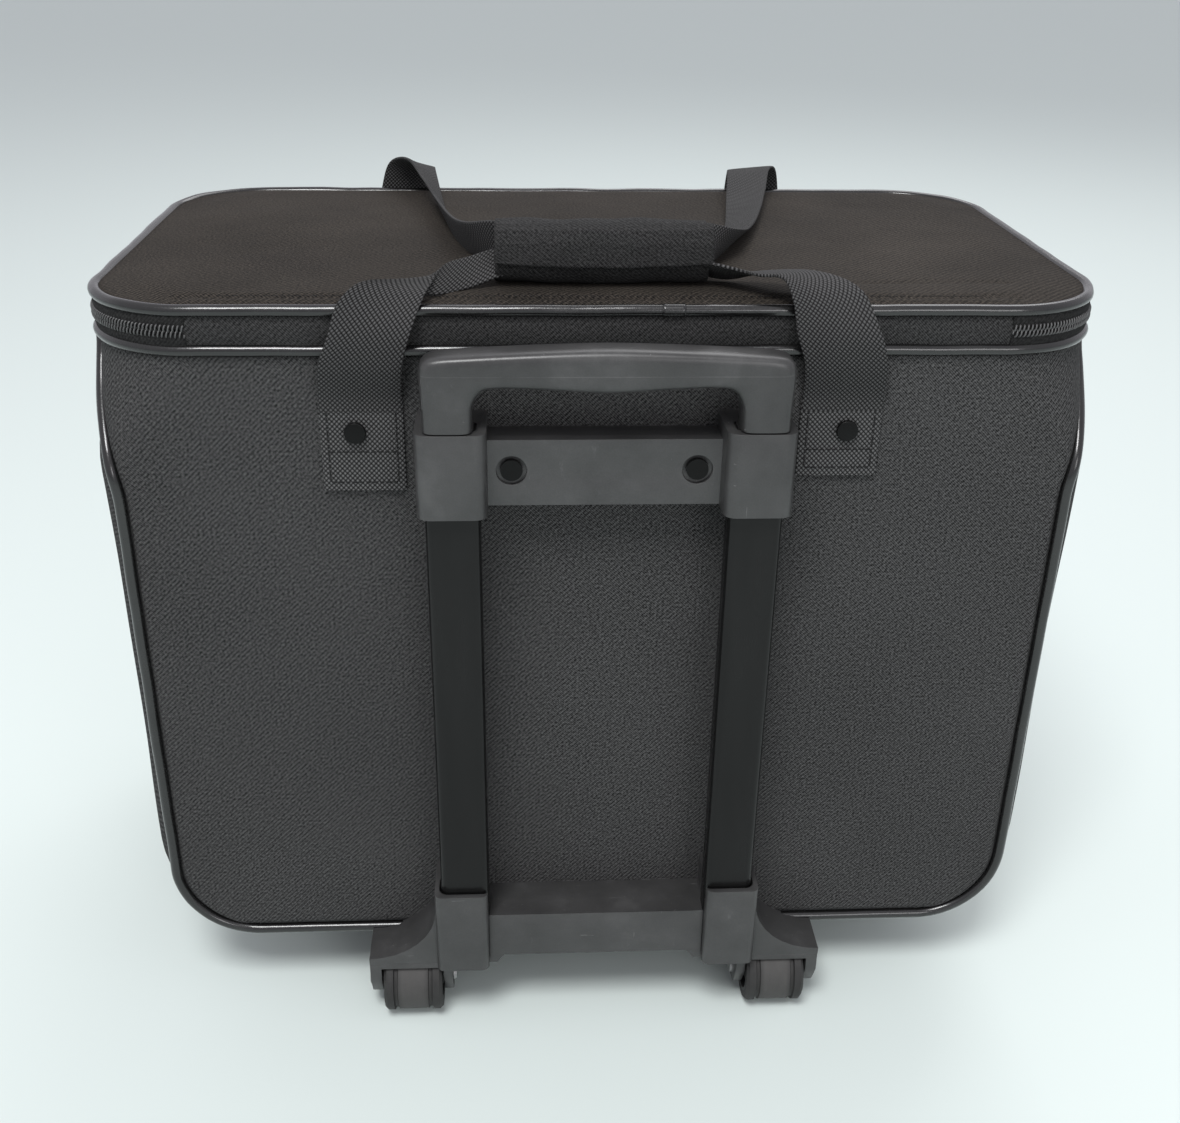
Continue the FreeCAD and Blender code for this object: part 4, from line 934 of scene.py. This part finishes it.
print("stage: hard parts")
hardParts = [
    ("upper_bracket", 1.6, bracketPlastic, "case", "bracket_plastic"),
    ("lower_bracket", 1.6, bracketPlastic, "case", "bracket_plastic"),
    ("wheel_housing_left", 1.2, bracketPlastic, "case", "bracket_plastic"),
    ("wheel_housing_right", 1.2, bracketPlastic, "case", "bracket_plastic"),
    ("rear_foot_left", 1.6, footPlastic, "case", "foot_plastic"),
    ("rear_foot_right", 1.6, footPlastic, "case", "foot_plastic"),
    ("slider_left", 0.5, sliderMetal, "zip_left", "slider_metal"),
    ("slider_right", 0.5, sliderMetal, "zip_right", "slider_metal"),
    ("pull_tab_left", 0.3, sliderMetal, "tab_left", "slider_metal"),
    ("pull_tab_right", 0.3, sliderMetal, "tab_right", "slider_metal"),
    ("patch_rivets", 0.7, fastenerBlack, "case", "black_fastener"),
]
for node, width, paint, body, slotName in hardParts:
    softened(node, width, paint, body)

tyreX = 98 * mm
carried = {
    "front_board": boardPlastic, "back_board": boardPlastic, "gusset_board": boardPlastic,
    "lining": liningCloth,
    "laptop_divider": liningCloth, "rivet_washers": screwSteel, "upper_bracket_screws": fastenerBlack,
    "lower_bracket_screws": screwSteel, "foot_screws": screwSteel, "axles": screwSteel,
    "outer_tube_left": tubeEnamel, "outer_tube_right": tubeEnamel, "middle_tube_left": tubeEnamel,
    "middle_tube_right": tubeEnamel, "inner_tube_left": tubeEnamel, "inner_tube_right": tubeEnamel,
    "outer_guides": guidePlastic, "middle_guides": guidePlastic, "middle_plugs": guidePlastic,
    "inner_plugs": guidePlastic, "grip_pins": pinBlack, "wheel_hub_left": hubPlastic,
    "wheel_hub_right": hubPlastic, "wheel_tyre_left": rubber("tread_left", -tyreX),
    "wheel_tyre_right": rubber("tread_right", tyreX), "lid_board": boardPlastic, "lid_lining": liningCloth,
}
for node, paint in carried.items():
    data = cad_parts[node].data
    data.materials.clear()
    data.materials.append(paint.material)

print("stage: studio")
studio = {"floorSize": 40, "floorColour": (0.64, 0.71, 0.685, 1), "floorRough": 0.7,
          "airColour": (0.90, 0.89, 0.95, 1), "airPower": 0.74}
floor = bpy.data.meshes.new("floor")
ground = bmesh.new()
bmesh.ops.create_grid(ground, x_segments=1, y_segments=1, size=studio["floorSize"])
ground.to_mesh(floor)
ground.free()
floorObject = bpy.data.objects.new("studio_floor", floor)
bpy.context.scene.collection.objects.link(floorObject)
floorPaint = Paint("studio_floor", Base_Color=studio["floorColour"], Roughness=studio["floorRough"])
floor.materials.append(floorPaint.material)
world = bpy.data.worlds.new("studio")
bpy.context.scene.world = world
world.use_nodes = True
air = world.node_tree.nodes["Background"]
air.inputs[0].default_value = studio["airColour"]
air.inputs[1].default_value = studio["airPower"]
bpy.context.scene.view_settings.view_transform = "Standard"


def softLight(name, where, target, size, power):
    data = bpy.data.lights.new(name, "AREA")
    data.size = size
    data.energy = power
    lamp = bpy.data.objects.new(name, data)
    bpy.context.scene.collection.objects.link(lamp)
    lamp.location = where
    lamp.rotation_euler = (Vector(target) - Vector(where)).to_track_quat("-Z", "Y").to_euler()
# each lamp's place, what it faces, its size and its power
lamps = {"key": ((-0.4, -1.2, 2.3), (0, 0, 0.25), 0.8, 44),
         "back": ((0.7, 1.6, 2.2), (0, 0, 0.35), 1.6, 22),
         "front": ((0.9, -2.4, 1.1), (0, 0, 0.2), 0.9, 12)}
for name, settings in lamps.items():
    softLight(name, *settings)

view = {"yaw": 3.39, "pitch": 26.45, "roll": 0.94, "sensor": 36, "lens": 41.1,
        "place": (-0.0392, -0.6946, 0.5518)}
yaw, pitch, roll = (math.radians(view[turn]) for turn in ("yaw", "pitch", "roll"))
ahead = Vector((math.sin(yaw) * math.cos(pitch), math.cos(yaw) * math.cos(pitch), -math.sin(pitch)))
levelRight = Vector((math.cos(yaw), -math.sin(yaw), 0))
levelUp = levelRight.cross(ahead)
right = levelRight * math.cos(roll) + levelUp * math.sin(roll)
up = levelUp * math.cos(roll) - levelRight * math.sin(roll)
cameraData = bpy.data.cameras.new("camera")
cameraData.sensor_width = view["sensor"]
cameraData.lens = view["lens"]
camera = bpy.data.objects.new("camera", cameraData)
bpy.context.scene.collection.objects.link(camera)
turn = Matrix((right, up, -ahead)).transposed().to_4x4()
camera.matrix_world = Matrix.Translation(view["place"]) @ turn
bpy.context.scene.camera = camera
